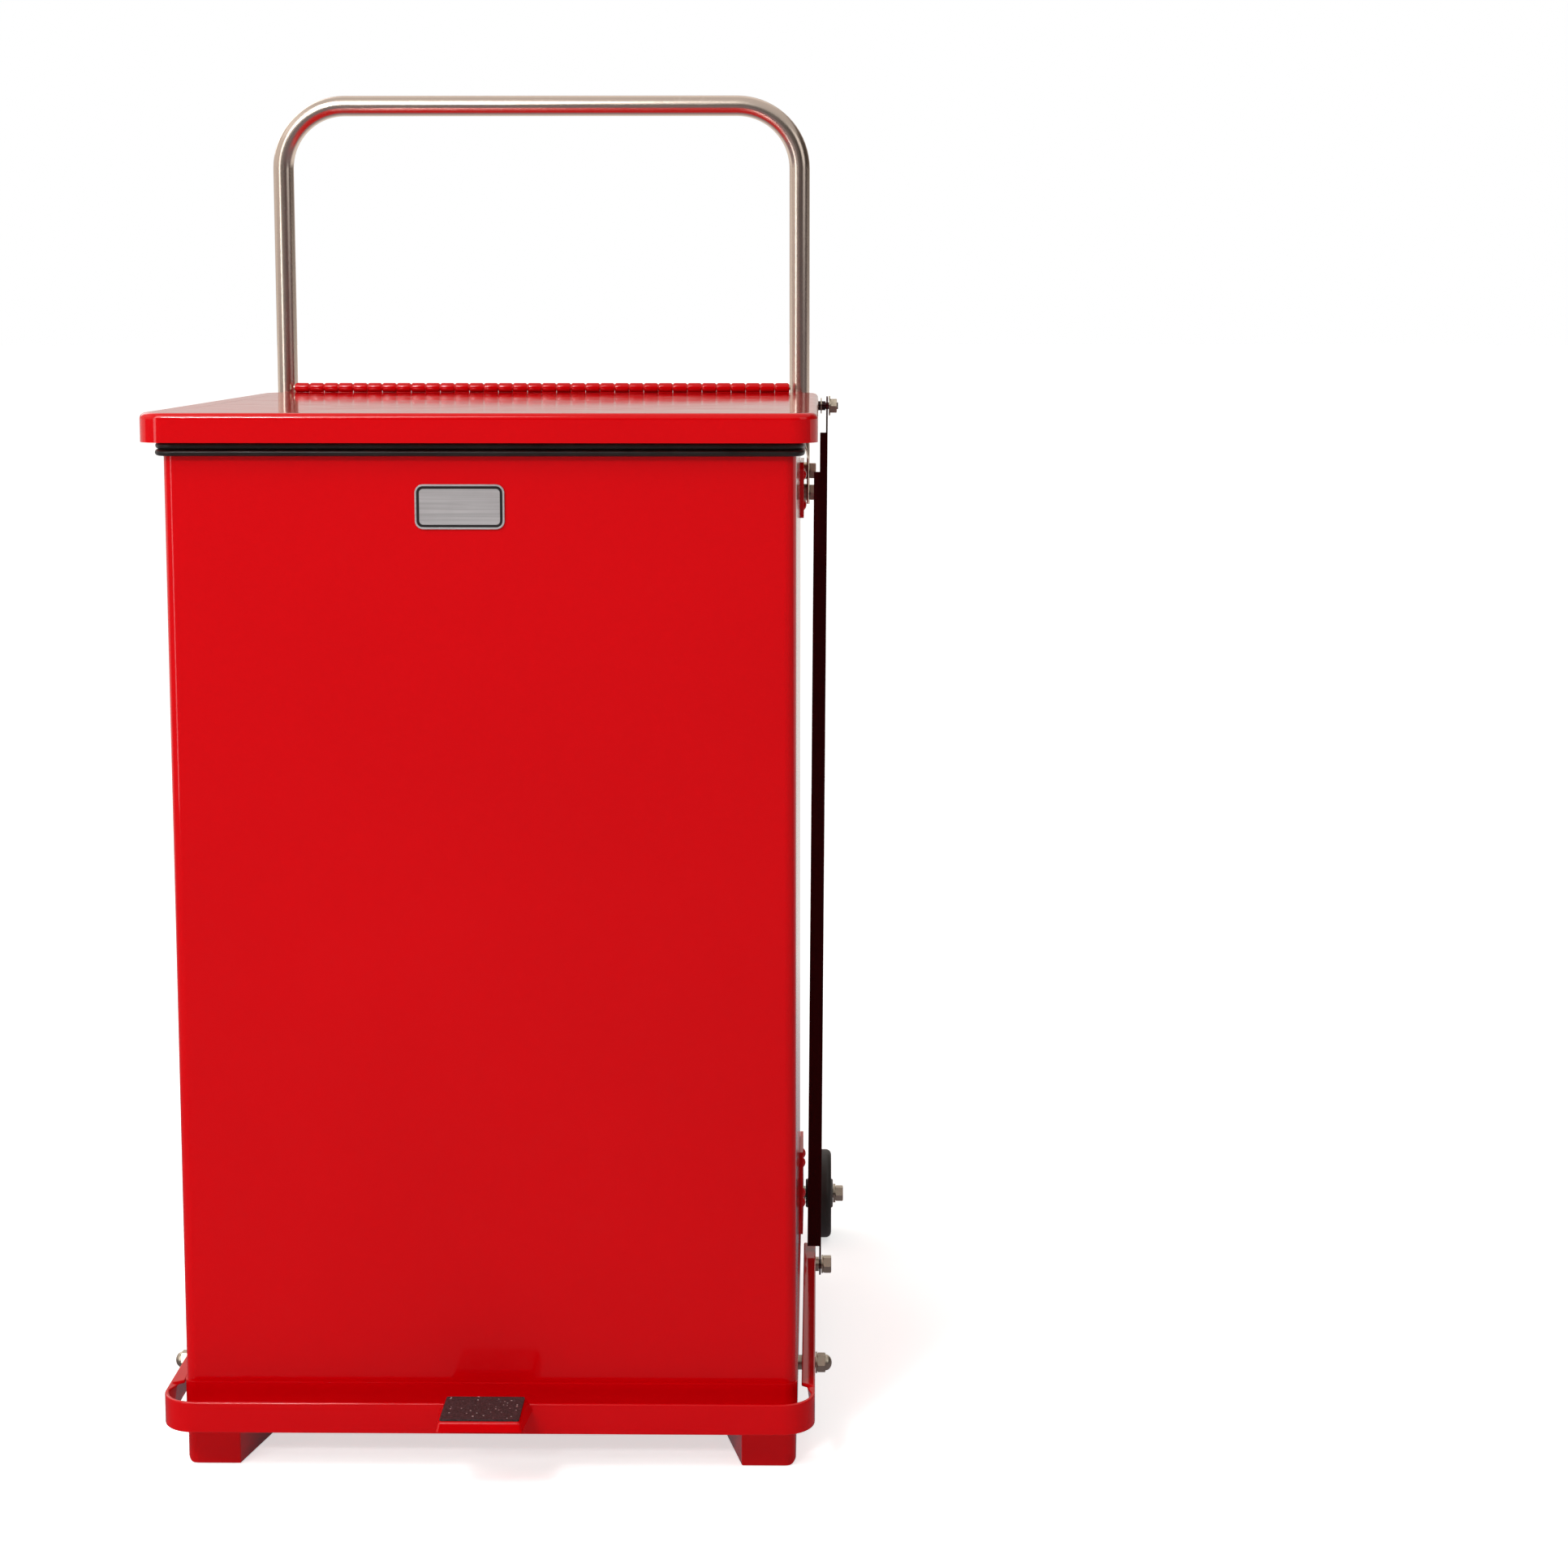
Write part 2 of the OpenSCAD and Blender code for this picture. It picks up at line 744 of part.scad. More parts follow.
// U-shaped flat bar round the front, with an inward flange along the top of both arms
module pedal_frame() {
  corner_y = bar_front_y + pedal_r;
  color(red) place() difference() {
    union() {
      translate([-pedal_half + pedal_r, bar_front_y, bar_low_z])
        cube([pedal_w - 2 * pedal_r, bar_t, bar_h]);
      both_sides() {
        translate([pedal_half - pedal_r, corner_y, bar_low_z]) rotate(-90) rotate_extrude(angle = 90)
          translate([pedal_r - bar_t, 0]) square([bar_t, bar_h]);
        translate([pedal_half - bar_t, corner_y, bar_low_z]) cube([bar_t, arm_end_y - corner_y, bar_h]);
        translate([0, 0, bar_top_z - bar_t]) linear_extrude(bar_t) polygon([
          [pedal_half - 1, flange_front_y - 4],
          [pedal_half - flange_w, flange_front_y],
          [pedal_half - flange_w, arm_end_y],
          [pedal_half - 1, arm_end_y]
        ]);
      }
    }
    both_sides() x_bar(pedal_half - 5, pedal_half + 5, bush_d, pivot_y, pivot_z);
    x_bar(pedal_half - 5, pedal_half + 5, rod_bolt_d + 2 * rivet_gap, rod_low_y, rod_low_z);
  }
}

module pedal_bushes() {
  color(zinc) place() both_sides()
    x_ring(pedal_half - bar_t, pedal_half, bush_d, pivot_d + 2 * run_gap, pivot_y, pivot_z);
}

// Pressed tread that sits over the front bar and turns down at its front and sides
module pedal_tread() {
  half = tread_w / 2;
  tab_back_y = bar_front_y + bar_t;
  color(red) place() {
    translate([-half, tread_front_y, tread_z - tread_t])
      cube([tread_w, tab_back_y - tread_front_y, tread_t]);
    translate([-half, tread_front_y, tread_z - tread_lip]) cube([tread_w, tread_t, tread_lip]);
    both_sides() translate([half - tread_t, tread_front_y, tread_z - tread_lip])
      cube([tread_t, bar_front_y - tread_front_y, tread_lip]);
    translate([-half, bar_front_y, bar_top_z]) cube([tread_w, bar_t, tread_z - bar_top_z - 0.5]);
  }
}

module grip_pad() {
  pad_y = (tread_front_y + bar_front_y + bar_t) / 2 + 0.5;
  color(grey) place() translate([0, pad_y, tread_z]) linear_extrude(pad_t) round_rect(pad_w, pad_d, 1.5);
}

// ---- lift rod ----

module rod_pivot_bolt() {
  color(zinc) place() {
    x_hex(pedal_half - bar_t - 3, pedal_half - bar_t, 11, rod_low_y, rod_low_z);
    x_bar(pedal_half - bar_t - 1, rod_nut_x + rod_nut_h - 2.3, rod_bolt_d, rod_low_y, rod_low_z);
  }
}

module rod_pivot_spacer() {
  color(zinc) place()
    x_ring(pedal_half, rod_low_x - 0.2, 12, rod_bolt_d + 2 * rivet_gap, rod_low_y, rod_low_z);
}

module rod_pivot_washer() {
  color(zinc) place()
    x_ring(rod_low_x + rod_t + 0.4, rod_nut_x, 15, rod_bolt_d + 2 * rivet_gap, rod_low_y, rod_low_z);
}

module rod_pivot_nut() {
  color(zinc) place()
    x_nut(rod_nut_x, rod_nut_x + rod_nut_h, 13, rod_bolt_d + 2 * rivet_gap, rod_low_y, rod_low_z);
}

// Angle section between two round eyes, drawn upright from its lower pivot and then leaned into place
module lift_rod() {
  plate_low = 16;
  plate_top = rod_len - 18;
  flange_top = plate_top - 6;
  notch_z = flange_top - 34;
  notch_w = 6.5;
  color(dark_red) place() translate([rod_low_x, rod_low_y, rod_low_z])
    rotate([-rod_lean_back, 0, 0]) rotate([0, rod_lean_out, 0]) difference() {
      union() {
        yz_plate(0, rod_t) {
          circle(r = 9);
          translate([-rod_depth / 2, 0]) square([rod_depth, rod_len]);
          translate([0, rod_len]) round_rect(slot_len + 7, slot_h + 7, 7.5);
          translate([-rod_depth / 2, rod_len - 12]) square([rod_depth, 8]);
        }
        translate([rod_t - rod_flange_w, -rod_depth / 2, plate_low])
          cube([rod_flange_w, rod_t, notch_z - plate_low]);
        translate([rod_t - notch_w, -rod_depth / 2, plate_low])
          cube([notch_w, rod_t, flange_top - plate_low]);
      }
      x_bar(-5, 5, rod_bolt_d + 2 * run_gap);
      yz_plate(-5, 10) translate([0, rod_len]) round_rect(slot_len, slot_h, slot_h / 2 - 0.01);
    }
}

// ---- lid ----

// Skirt, rounded top edge and the flange turned in at the foot, as one profile for the sweep
module lid_profile() {
  edge_x = lid_r - lid_edge_r;
  edge_z = lid_top_z - lid_edge_r;
  translate([lid_r - lid_t, skirt_z]) square([lid_t, edge_z - skirt_z]);
  translate([lid_r - lid_return, skirt_z]) square([lid_return, lid_t]);
  intersection() {
    difference() {
      translate([edge_x, edge_z]) circle(r = lid_edge_r);
      translate([edge_x, edge_z]) circle(r = lid_edge_r - lid_t);
    }
    translate([edge_x, edge_z]) square(lid_edge_r + 1);
  }
  translate([0, lid_top_z - lid_t]) square([edge_x, lid_t]);
}

module lid_shell() {
  flat_w_lid = lid_w - 2 * lid_r;
  color(red) place() difference() {
    union() {
      square_sweep(lid_w, lid_r) lid_profile();
      translate([0, 0, lid_top_z - lid_t / 2])
        cube([flat_w_lid + 0.02, flat_w_lid + 0.02, lid_t], center = true);
    }
    x_bar(lid_half - 5, lid_half + 5, stud_d + 2 * rivet_gap, rod_top_y, rod_top_z);
    for (i = [0:hinge_rivet_count - 1])
      hinge_hole(i, lid_half - 4);
  }
}

// Headed stud through the lid's side skirt
module lid_stud() {
  color(dark_red) place() {
    x_bar(lid_half - lid_t - 3, lid_half - lid_t, 12, rod_top_y, rod_top_z);
    x_bar(lid_half - lid_t - 1, stud_nut_x + stud_nut_h + 1, stud_d, rod_top_y, rod_top_z);
  }
}

module lid_stud_washers() {
  color(zinc) place() {
    x_ring(stud_washer_x, stud_washer_x + stud_washer_t, 13.5, stud_bore, rod_top_y, rod_top_z);
    x_ring(stud_outer_washer_x, stud_nut_x, 17, stud_bore, rod_top_y, rod_top_z);
  }
}

module lid_stud_sleeve() {
  color(dark_red) place() {
    x_ring(lid_half, stud_washer_x, stud_sleeve_d, stud_bore, rod_top_y, rod_top_z);
    x_ring(stud_washer_x + stud_washer_t, stud_sleeve_end_x, stud_sleeve_d, stud_bore, rod_top_y, rod_top_z);
  }
}

module lid_stud_nut() {
  color(zinc) place() x_nut(stud_nut_x, stud_nut_x + stud_nut_h, 11.7, stud_bore, rod_top_y, rod_top_z);
}

// ---- liner ----

// A tapered square tub whose foot is at z = 0, wall inset by in
module tub(in, h) {
  foot_w = liner_foot_w - 2 * in;
  linear_extrude(h, scale = (liner_top_w - 2 * in) / foot_w) round_square(foot_w, 26 - in, $fn = 48);
}

module liner() {
  rim_r = 34;
  collar_h = 17;
  lift = floor_z + 0.3;
  color(black) place() translate([0, 0, lift]) difference() {
    union() {
      tub(0, liner_h - 1);
      translate([0, 0, liner_h - liner_wall]) linear_extrude(liner_wall) round_square(liner_rim_w, rim_r);
      translate([0, 0, liner_h - collar_h]) linear_extrude(collar_h) difference() {
        round_square(liner_rim_w, rim_r);
        round_square(liner_rim_w - 2 * liner_wall, rim_r - liner_wall);
      }
    }
    translate([0, 0, liner_wall]) tub(liner_wall, liner_h - liner_wall + 0.5);
  }
}

body_shell();
base_pan();
rim_gasket();
front_foot_left();
front_foot_right();
nameplate();
hinge_riser();
hinge_body_leaf();
hinge_pin();
hinge_rivets();
handle();
handle_bracket_left();
handle_bracket_right();
handle_bracket_rivets();
handle_spacers();
handle_bolts();
handle_nuts();
wheel_bracket_left();
wheel_bracket_right();
wheel_bracket_rivets();
axle_bolts();
axle_nuts();
axle_spacers();
axle_washers();
pivot_shaft();
pivot_spacers();
pivot_washers();
pivot_cap_nuts();
pedal_frame();
pedal_tread();
grip_pad();
pedal_bushes();
rod_pivot_bolt();
rod_pivot_spacer();
rod_pivot_washer();
rod_pivot_nut();
lift_rod();
lid_shell();
hinge_lid_leaf();
lid_leaf_rivets();
lid_stud();
lid_stud_washers();
lid_stud_sleeve();
lid_stud_nut();
left_tyre();
left_hub();
right_tyre();
right_hub();
liner();
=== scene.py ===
"""Looks of a step-on steel waste can, built as an add-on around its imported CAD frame.

The frame fixes every size and place. This file makes the visible pieces and their finishes, the plain
studio and the camera. Run as a script it builds everything once, in order.
"""

import json
import math
from contextlib import contextmanager

import bmesh
import bpy
from mathutils import Matrix, Vector, noise


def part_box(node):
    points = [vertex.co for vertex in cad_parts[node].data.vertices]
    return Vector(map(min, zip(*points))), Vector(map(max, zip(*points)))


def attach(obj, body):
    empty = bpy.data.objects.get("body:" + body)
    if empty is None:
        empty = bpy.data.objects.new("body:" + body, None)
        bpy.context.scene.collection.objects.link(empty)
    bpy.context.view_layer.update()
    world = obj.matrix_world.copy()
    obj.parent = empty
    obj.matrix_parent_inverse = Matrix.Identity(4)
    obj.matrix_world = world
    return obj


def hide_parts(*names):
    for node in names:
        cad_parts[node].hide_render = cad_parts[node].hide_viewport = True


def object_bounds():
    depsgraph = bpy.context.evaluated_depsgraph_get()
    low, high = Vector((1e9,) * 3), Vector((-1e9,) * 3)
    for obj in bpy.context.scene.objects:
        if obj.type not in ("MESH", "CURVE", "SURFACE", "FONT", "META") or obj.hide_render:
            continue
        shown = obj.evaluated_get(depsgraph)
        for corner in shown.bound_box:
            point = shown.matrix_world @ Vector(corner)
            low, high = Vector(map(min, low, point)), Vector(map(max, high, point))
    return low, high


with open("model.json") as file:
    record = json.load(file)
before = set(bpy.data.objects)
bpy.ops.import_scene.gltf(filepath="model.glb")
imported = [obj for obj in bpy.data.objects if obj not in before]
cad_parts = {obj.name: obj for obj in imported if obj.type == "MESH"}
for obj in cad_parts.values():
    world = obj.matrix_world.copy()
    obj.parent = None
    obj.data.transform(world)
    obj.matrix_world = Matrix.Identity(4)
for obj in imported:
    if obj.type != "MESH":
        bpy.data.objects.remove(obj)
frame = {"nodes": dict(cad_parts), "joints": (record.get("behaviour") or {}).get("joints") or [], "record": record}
cad_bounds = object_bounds()

bl_info = {
    "name": "Step-on waste can",
    "version": (1, 0, 0),
    "blender": (4, 5, 0),
    "location": "3D View > Sidebar > Waste Can",
    "description": "Builds the visible pieces, finishes and studio of a step-on waste can",
    "category": "Object",
}

MM = 0.001
SIDES = (1, -1)

# bolts and nuts of the handle, the axles and the pivots
BOLT_HEAD = 5.3 * MM
AXLE_HEAD = 7 * MM
BOLT_TAIL = 9 * MM
SHANK_RADIUS = 4 * MM
NUT_HEIGHT = 6.5 * MM
NUT_FLATS = 13 * MM


# ---------------------------------------------------------------- settings


def length_setting(name, description, millimetres):
    return bpy.props.FloatProperty(
        name=name, description=description, default=millimetres * MM, unit="LENGTH")


def colour_setting(name, description, linear):
    return bpy.props.FloatVectorProperty(
        name=name, description=description, default=linear, subtype="COLOR", size=3)


class WasteCanSizes(bpy.types.PropertyGroup):
    """Sizes that shape the visible pieces inside the frame's boxes."""

    sheet: length_setting("Sheet", "Thickness of the body's sheet steel", 1)
    lid_sheet: length_setting("Lid sheet", "Thickness of the lid's sheet steel", 1.2)
    body_corner: length_setting("Body corner", "Radius of the body's upright corners", 9)
    lid_corner: length_setting("Lid corner", "Radius of the lid's upright corners", 20)
    lid_edge: length_setting("Lid edge", "Radius of the lid's top edge", 4.5)
    lid_return: length_setting("Lid return", "Width of the flange turned in under the lid", 12)
    lid_dish: length_setting("Lid dish", "How far the middle of the lid's sheet sinks", 0.9)
    seam_width: length_setting("Seam", "Width of the lap seam up the back of the body", 16)
    tube: length_setting("Handle tube", "Outer diameter of the handle tube", 17.6)
    bend: length_setting("Handle bend", "Centre-line radius of the handle's bends", 54)
    flat: length_setting("Handle flat", "Thickness of the handle's flat ends", 3)
    flat_width: length_setting("Flat width", "Width of the handle's flat ends", 26)
    taper_top: length_setting("Taper top", "Height where the tube starts to flatten", 745)
    taper_foot: length_setting("Taper foot", "Height where the tube is flat", 722)
    bar: length_setting("Pedal bar", "Thickness of the pedal's flat bar", 3)
    bar_corner: length_setting("Pedal corner", "Radius of the pedal bar's front corners", 25)
    liner_top: length_setting("Liner top", "Width of the liner under its rim", 387)
    liner_foot: length_setting("Liner foot", "Width of the liner at its foot", 364)
    liner_wall: length_setting("Liner wall", "Wall thickness of the liner", 3)
    knuckles: bpy.props.IntProperty(
        name="Knuckles", description="Number of knuckles along the hinge", default=34, min=2)


class WasteCanFinishes(bpy.types.PropertyGroup):
    """Colours of the finishes, as linear RGB."""

    enamel: colour_setting("Enamel", "Red baked enamel", (0.58, 0.0, 0.002))
    # the lift rod's red enamel is made near black to stand in for the shade on it: painted shade
    rod_enamel_painted_shade: colour_setting("Rod enamel", "Painted-shade red enamel of the lift rod", (0.032, 0.0, 0.001))
    stainless: colour_setting("Stainless", "Satin tube of the handle", (0.80, 0.67, 0.57))
    zinc: colour_setting("Zinc", "Bright plate of the fasteners", (0.60, 0.52, 0.41))
    rubber: colour_setting("Rubber", "Rim gasket", (0.010, 0.008, 0.007))
    tyre: colour_setting("Tyre", "Tyres of the wheels", (0.022, 0.018, 0.015))
    hub: colour_setting("Hub", "Moulded hubs", (0.13, 0.12, 0.11))
    liner: colour_setting("Liner", "Moulded liner", (0.008, 0.0065, 0.006))
    grit: colour_setting("Grit", "Grip pad of the tread", (0.022, 0.014, 0.015))
    plate: colour_setting("Plate", "Face of the nameplate", (0.47, 0.455, 0.46))


class WasteCanStudio(bpy.types.PropertyGroup):
    """Camera and light of the plain studio."""

    camera_place: bpy.props.FloatVectorProperty(
        name="Camera", description="Where the camera stands", subtype="TRANSLATION", size=3,
        default=(0.2424, -2.2547, 0.8533))
    yaw: bpy.props.FloatProperty(
        name="Yaw", description="How far the camera turns to the left of the Y axis",
        default=math.radians(0.720), subtype="ANGLE")
    pitch: bpy.props.FloatProperty(
        name="Pitch", description="How far the camera looks down", default=math.radians(6.8),
        subtype="ANGLE")
    lens: bpy.props.FloatProperty(name="Lens", description="Focal length in millimetres", default=64.97)
    shift: bpy.props.FloatProperty(name="Shift", description="Upward shift of the lens", default=-0.09)
    key_power: bpy.props.FloatProperty(
        name="Key", description="Power of the key light in watts", default=28.5)
    spark_power: bpy.props.FloatProperty(
        name="Spark", description="Power of the small lamp that puts the highlights on edges", default=12)
    strip_power: bpy.props.FloatProperty(
        name="Strip", description="Power of the upright lamp that streaks the handle", default=8)
    sun: bpy.props.FloatProperty(name="Sun", description="Strength of the soft sun", default=0.9)


def sizes():
    return bpy.context.scene.waste_can_sizes


def finishes():
    return bpy.context.scene.waste_can_finishes


# ---------------------------------------------------------------- modelling


def only(obj):
    """Makes obj the one selected and active object."""
    bpy.ops.object.select_all(action="DESELECT")
    obj.select_set(True)
    bpy.context.view_layer.objects.active = obj


@contextmanager
def editing(obj):
    """Edit mode on obj."""
    only(obj)
    bpy.ops.object.mode_set(mode="EDIT")
    bpy.ops.mesh.select_mode(type="VERT")
    yield
    bpy.ops.object.mode_set(mode="OBJECT")


def pick_all():
    bpy.ops.mesh.select_all(action="SELECT")


def pick(kind, test):
    """Selects, in edit mode, the elements of one kind ("VERT", "EDGE" or "FACE") that pass a test."""
    mesh = bpy.context.edit_object.data
    bpy.ops.mesh.select_mode(type=kind)
    bpy.ops.mesh.select_all(action="DESELECT")
    bm = bmesh.from_edit_mesh(mesh)
    bm.normal_update()
    elements = {"VERT": bm.verts, "EDGE": bm.edges, "FACE": bm.faces}[kind]
    for element in elements:
        if test(element):
            element.select_set(True)
    bm.select_flush_mode()
    bmesh.update_edit_mesh(mesh)


def close_up(threshold):
    """Merges the doubles of the whole mesh and turns its faces outwards."""
    pick_all()
    bpy.ops.mesh.remove_doubles(threshold=threshold)
    bpy.ops.mesh.normals_make_consistent(inside=False)


def remove_faces(test):
    """Deletes the faces that pass a test."""
    pick("FACE", test)
    bpy.ops.mesh.delete(type="FACE")


def round_off(test, radius, segments):
    """Rounds the edges that pass a test."""
    pick("EDGE", test)
    bpy.ops.mesh.bevel(offset=radius, segments=segments, affect="EDGES")


def at(value, target, within=0.05 * MM):
    return abs(value - target) < within


def level(edge, z):
    """True for an edge whose two ends are at height z."""
    return all(at(v.co.z, z) for v in edge.verts)


def upright(edge):
    a, b = (v.co for v in edge.verts)
    return at(a.x, b.x) and at(a.y, b.y) and not at(a.z, b.z)


def extrude(move=(0, 0, 0), scale=None, about=None):
    """Extrudes the selection by a move, and then scales it about a point."""
    bpy.ops.mesh.extrude_region_move(TRANSFORM_OT_translate={"value": move})
    if scale:
        bpy.ops.transform.resize(value=scale, center_override=about)


def primitive(kind, scale=(1, 1, 1), **values):
    """Adds a primitive alone and puts its place and size into its mesh."""
    bpy.ops.object.select_all(action="DESELECT")
    getattr(bpy.ops.mesh, f"primitive_{kind}_add")(**values)
    obj = bpy.context.active_object
    obj.scale = scale
    bpy.ops.object.transform_apply(location=True, rotation=True, scale=True)
    return obj


def block(low, high):
    """A box between two corners, ready to be shaped."""
    low, high = Vector(low), Vector(high)
    return primitive("cube", high - low, size=1, location=(low + high) / 2)


def modify(obj, kind, **values):
    """Adds a modifier and applies it."""
    only(obj)
    modifier = obj.modifiers.new(kind.title(), kind)
    for key, value in values.items():
        setattr(modifier, key, value)
    bpy.ops.object.modifier_apply(modifier=modifier.name)


def break_edges(obj, width, segments=2, angle=35):
    """Rounds every edge that is sharper than an angle in degrees."""
    modify(obj, "BEVEL", width=width, segments=segments, limit_method="ANGLE",
           angle_limit=math.radians(angle), use_clamp_overlap=True)


def thicken(obj, wall):
    """Gives a skin a wall on its inner side."""
    modify(obj, "SOLIDIFY", thickness=wall, offset=-1, use_even_offset=True)


def joined(objects):
    bpy.ops.object.select_all(action="DESELECT")
    for obj in objects:
        obj.select_set(True)
    bpy.context.view_layer.objects.active = objects[0]
    bpy.ops.object.join()
    return objects[0]


def moved_copy(obj, move):
    """A copy with its own mesh. move is a Matrix."""
    copy = obj.copy()
    copy.data = obj.data.copy()
    bpy.context.collection.objects.link(copy)
    copy.data.transform(move)
    return copy


def mirrored_copy(obj):
    """A second piece on the other side of the X = 0 plane, with its faces pointing outwards."""
    copy = moved_copy(obj, Matrix.Diagonal((-1, 1, 1, 1)))
    copy.data.flip_normals()
    return copy


def settle(obj, name, body, material, slot, *nodes, angle=38):
    """Names a finished piece, shades it, and hands it to its body and CAD nodes. The slot argument is not used."""
    only(obj)
    bpy.ops.object.transform_apply(location=True, rotation=True, scale=True)
    bpy.ops.object.shade_smooth_by_angle(angle=math.radians(angle))
    modify(obj, "WEIGHTED_NORMAL", keep_sharp=True)
    obj.name = obj.data.name = name
    obj.data.materials.clear()
    obj.data.materials.append(material)
    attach(obj, body)
    if nodes:
        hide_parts(*nodes)
    return obj


def softened(node, width, merge_angle=0.5):
    """A copy of a CAD piece whose triangles are merged into faces and whose edges are broken."""
    copy = moved_copy(frame["nodes"][node], Matrix())
    copy.parent = None
    for key in list(copy.keys()):
        del copy[key]
    with editing(copy):
        pick_all()
        bpy.ops.mesh.remove_doubles(threshold=0.002 * MM)
        bpy.ops.mesh.dissolve_limited(angle_limit=math.radians(merge_angle))
    if copy.data.has_custom_normals:
        only(copy)
        bpy.ops.mesh.customdata_custom_splitnormals_clear()
    break_edges(copy, width)
    return copy


def lathe(outline, y, z, steps=48):
    """A solid turned about the X direction through (y, z). The outline is (x, radius) points, from the
    left to the right; it starts and ends on the axis, or is closed when its first point comes last."""
    first = Vector((outline[0][0], y, z + outline[0][1]))
    obj = primitive("plane", size=1 * MM, location=first)
    with editing(obj):
        pick_all()
        bpy.ops.mesh.merge(type="CENTER")
        for (xa, ra), (xb, rb) in zip(outline, outline[1:]):
            extrude((xb - xa, 0, rb - ra))
        pick_all()
        bpy.ops.mesh.spin(steps=steps, angle=2 * math.pi, center=(0, y, z), axis=(1, 0, 0))
        close_up(0.005 * MM)
    return obj


def hexagon(x0, x1, flats, y, z):
    """A hexagonal nut or head along X whose corners are chamfered at both ends."""
    corner = flats / math.sqrt(3)
    chamfer = corner - flats / 2
    nut = primitive(
        "cylinder", vertices=6, radius=corner, depth=x1 - x0, location=((x0 + x1) / 2, y, z),
        rotation=(0, math.pi / 2, 0))
    gap = 0.1 * MM
    turned = lathe([
        (x0 - gap, 0), (x0 - gap, corner - chamfer * 1.3), (x0 + chamfer * 0.55, corner + gap),
        (x1 - chamfer * 0.55, corner + gap), (x1 + gap, corner - chamfer * 1.3), (x1 + gap, 0)], y, z)
    modify(nut, "BOOLEAN", operation="INTERSECT", object=turned, solver="MANIFOLD")
    bpy.data.objects.remove(turned)
    break_edges(nut, 0.15 * MM, 1, 25)
    return nut


# ---------------------------------------------------------------- finishes


class Finish:
    """A material with one Principled shader and short ways to add nodes to it."""

    def __init__(self, name, tree=None):
        if tree is None:
            self.material = bpy.data.materials.new(name)
            self.material.use_nodes = True
            tree = self.material.node_tree
            self.shader = tree.nodes["Principled BSDF"]
        self.tree = tree

    def add(self, kind, settings=None, **inputs):
        """Adds a node. settings are its own properties; inputs are values or sockets for its sockets."""
        node = self.tree.nodes.new(kind)
        for key, value in (settings or {}).items():
            setattr(node, key, value)
        for key, value in inputs.items():
            socket = node.inputs[int(key[1:])] if key[1:].isdigit() else node.inputs[key.replace("_", " ")]
            self.feed(socket, value)
        return node

    def feed(self, socket, value):
        if isinstance(value, bpy.types.NodeSocket):
            self.tree.links.new(value, socket)
        else:
            socket.default_value = value

    def place(self, stretch=(1, 1, 1)):
        """Object coordinates, stretched."""
        coordinates = self.add("ShaderNodeTexCoord").outputs["Object"]
        return self.add("ShaderNodeMapping", Vector=coordinates, Scale=stretch).outputs["Vector"]

    def noise(self, vector, scale, detail=2.0, roughness=0.5):
        return self.add("ShaderNodeTexNoise", Vector=vector, Scale=scale, Detail=detail,
                        Roughness=roughness).outputs["Fac"]

    def spread(self, value, low, high, to_low=0.0, to_high=1.0):
        """Maps a value from one range to another, clamped."""
        return self.add("ShaderNodeMapRange", i0=value, i1=low, i2=high, i3=to_low, i4=to_high).outputs[0]

    def sum(self, a, b, operation="ADD"):
        return self.add("ShaderNodeMath", {"operation": operation}, i0=a, i1=b).outputs[0]

    def mix(self, amount, a, b):
        """Mixes two colours."""
        return self.add("ShaderNodeMix", {"data_type": "RGBA"}, i0=amount, i6=a, i7=b).outputs[2]

    def bump(self, height, distance, strength=1.0, normal=None):
        node = self.add("ShaderNodeBump", Height=height, Distance=distance, Strength=strength)
        if normal is not None:
            self.feed(node.inputs["Normal"], normal)
        return node.outputs["Normal"]

    def group(self, tree, **inputs):
        node = self.tree.nodes.new("ShaderNodeGroup")
        node.node_tree = tree
        for key, value in inputs.items():
            self.feed(node.inputs[key.replace("_", " ")], value)
        return node.outputs

    def dust(self, tree, scale, amount):
        """Mask of settled dust."""
        return self.group(tree, Vector=self.place(), Scale=scale, Amount=amount)["Mask"]

    def scuffs(self, tree, stretch, scale, coverage, wide=1.0):
        """Mask of rubbed lines, drawn out across the stretch."""
        lines, patches = self.place(stretch), self.place((wide, wide, wide))
        return self.group(tree, Vector=lines, Vector_wide=patches, Scale=scale, Coverage=coverage)["Mask"]

    def shade(self, **inputs):
        for key, value in inputs.items():
            self.feed(self.shader.inputs[key.replace("_", " ")], value)
        return self.material


def rgba(colour, gain=1.0):
    return tuple(min(1.0, c * gain) for c in colour[:3]) + (1.0,)


def new_group(name, inputs, outputs):
    """An empty node group with float sockets, or vector ones for names that start with Vector."""
    tree = bpy.data.node_groups.new(name, "ShaderNodeTree")
    for in_out, names in (("INPUT", inputs), ("OUTPUT", outputs)):
        for socket in names:
            kind = "NodeSocketVector" if socket.startswith("Vector") else "NodeSocketFloat"
            tree.interface.new_socket(name=socket, in_out=in_out, socket_type=kind)
    work = Finish(name, tree)
    entry = tree.nodes.new("NodeGroupInput").outputs
    leave = tree.nodes.new("NodeGroupOutput").inputs
    return tree, work, entry, leave


def dust_group():
    """Dust that settles on faces that look up, in soft patches."""
    tree, work, entry, leave = new_group("Settled dust", ["Vector", "Scale", "Amount"], ["Mask"])
    patches = work.noise(entry["Vector"], entry["Scale"], 4.0, 0.6)
    normal = work.add("ShaderNodeTexCoord").outputs["Normal"]
    up = work.add("ShaderNodeSeparateXYZ", Vector=normal).outputs["Z"]
    lit = work.spread(up, 0.2, 1.0, 0.25, 1.0)
    soft = work.spread(patches, 0.42, 0.72)
    work.feed(leave["Mask"], work.sum(work.sum(lit, soft, "MULTIPLY"), entry["Amount"], "MULTIPLY"))
    return tree


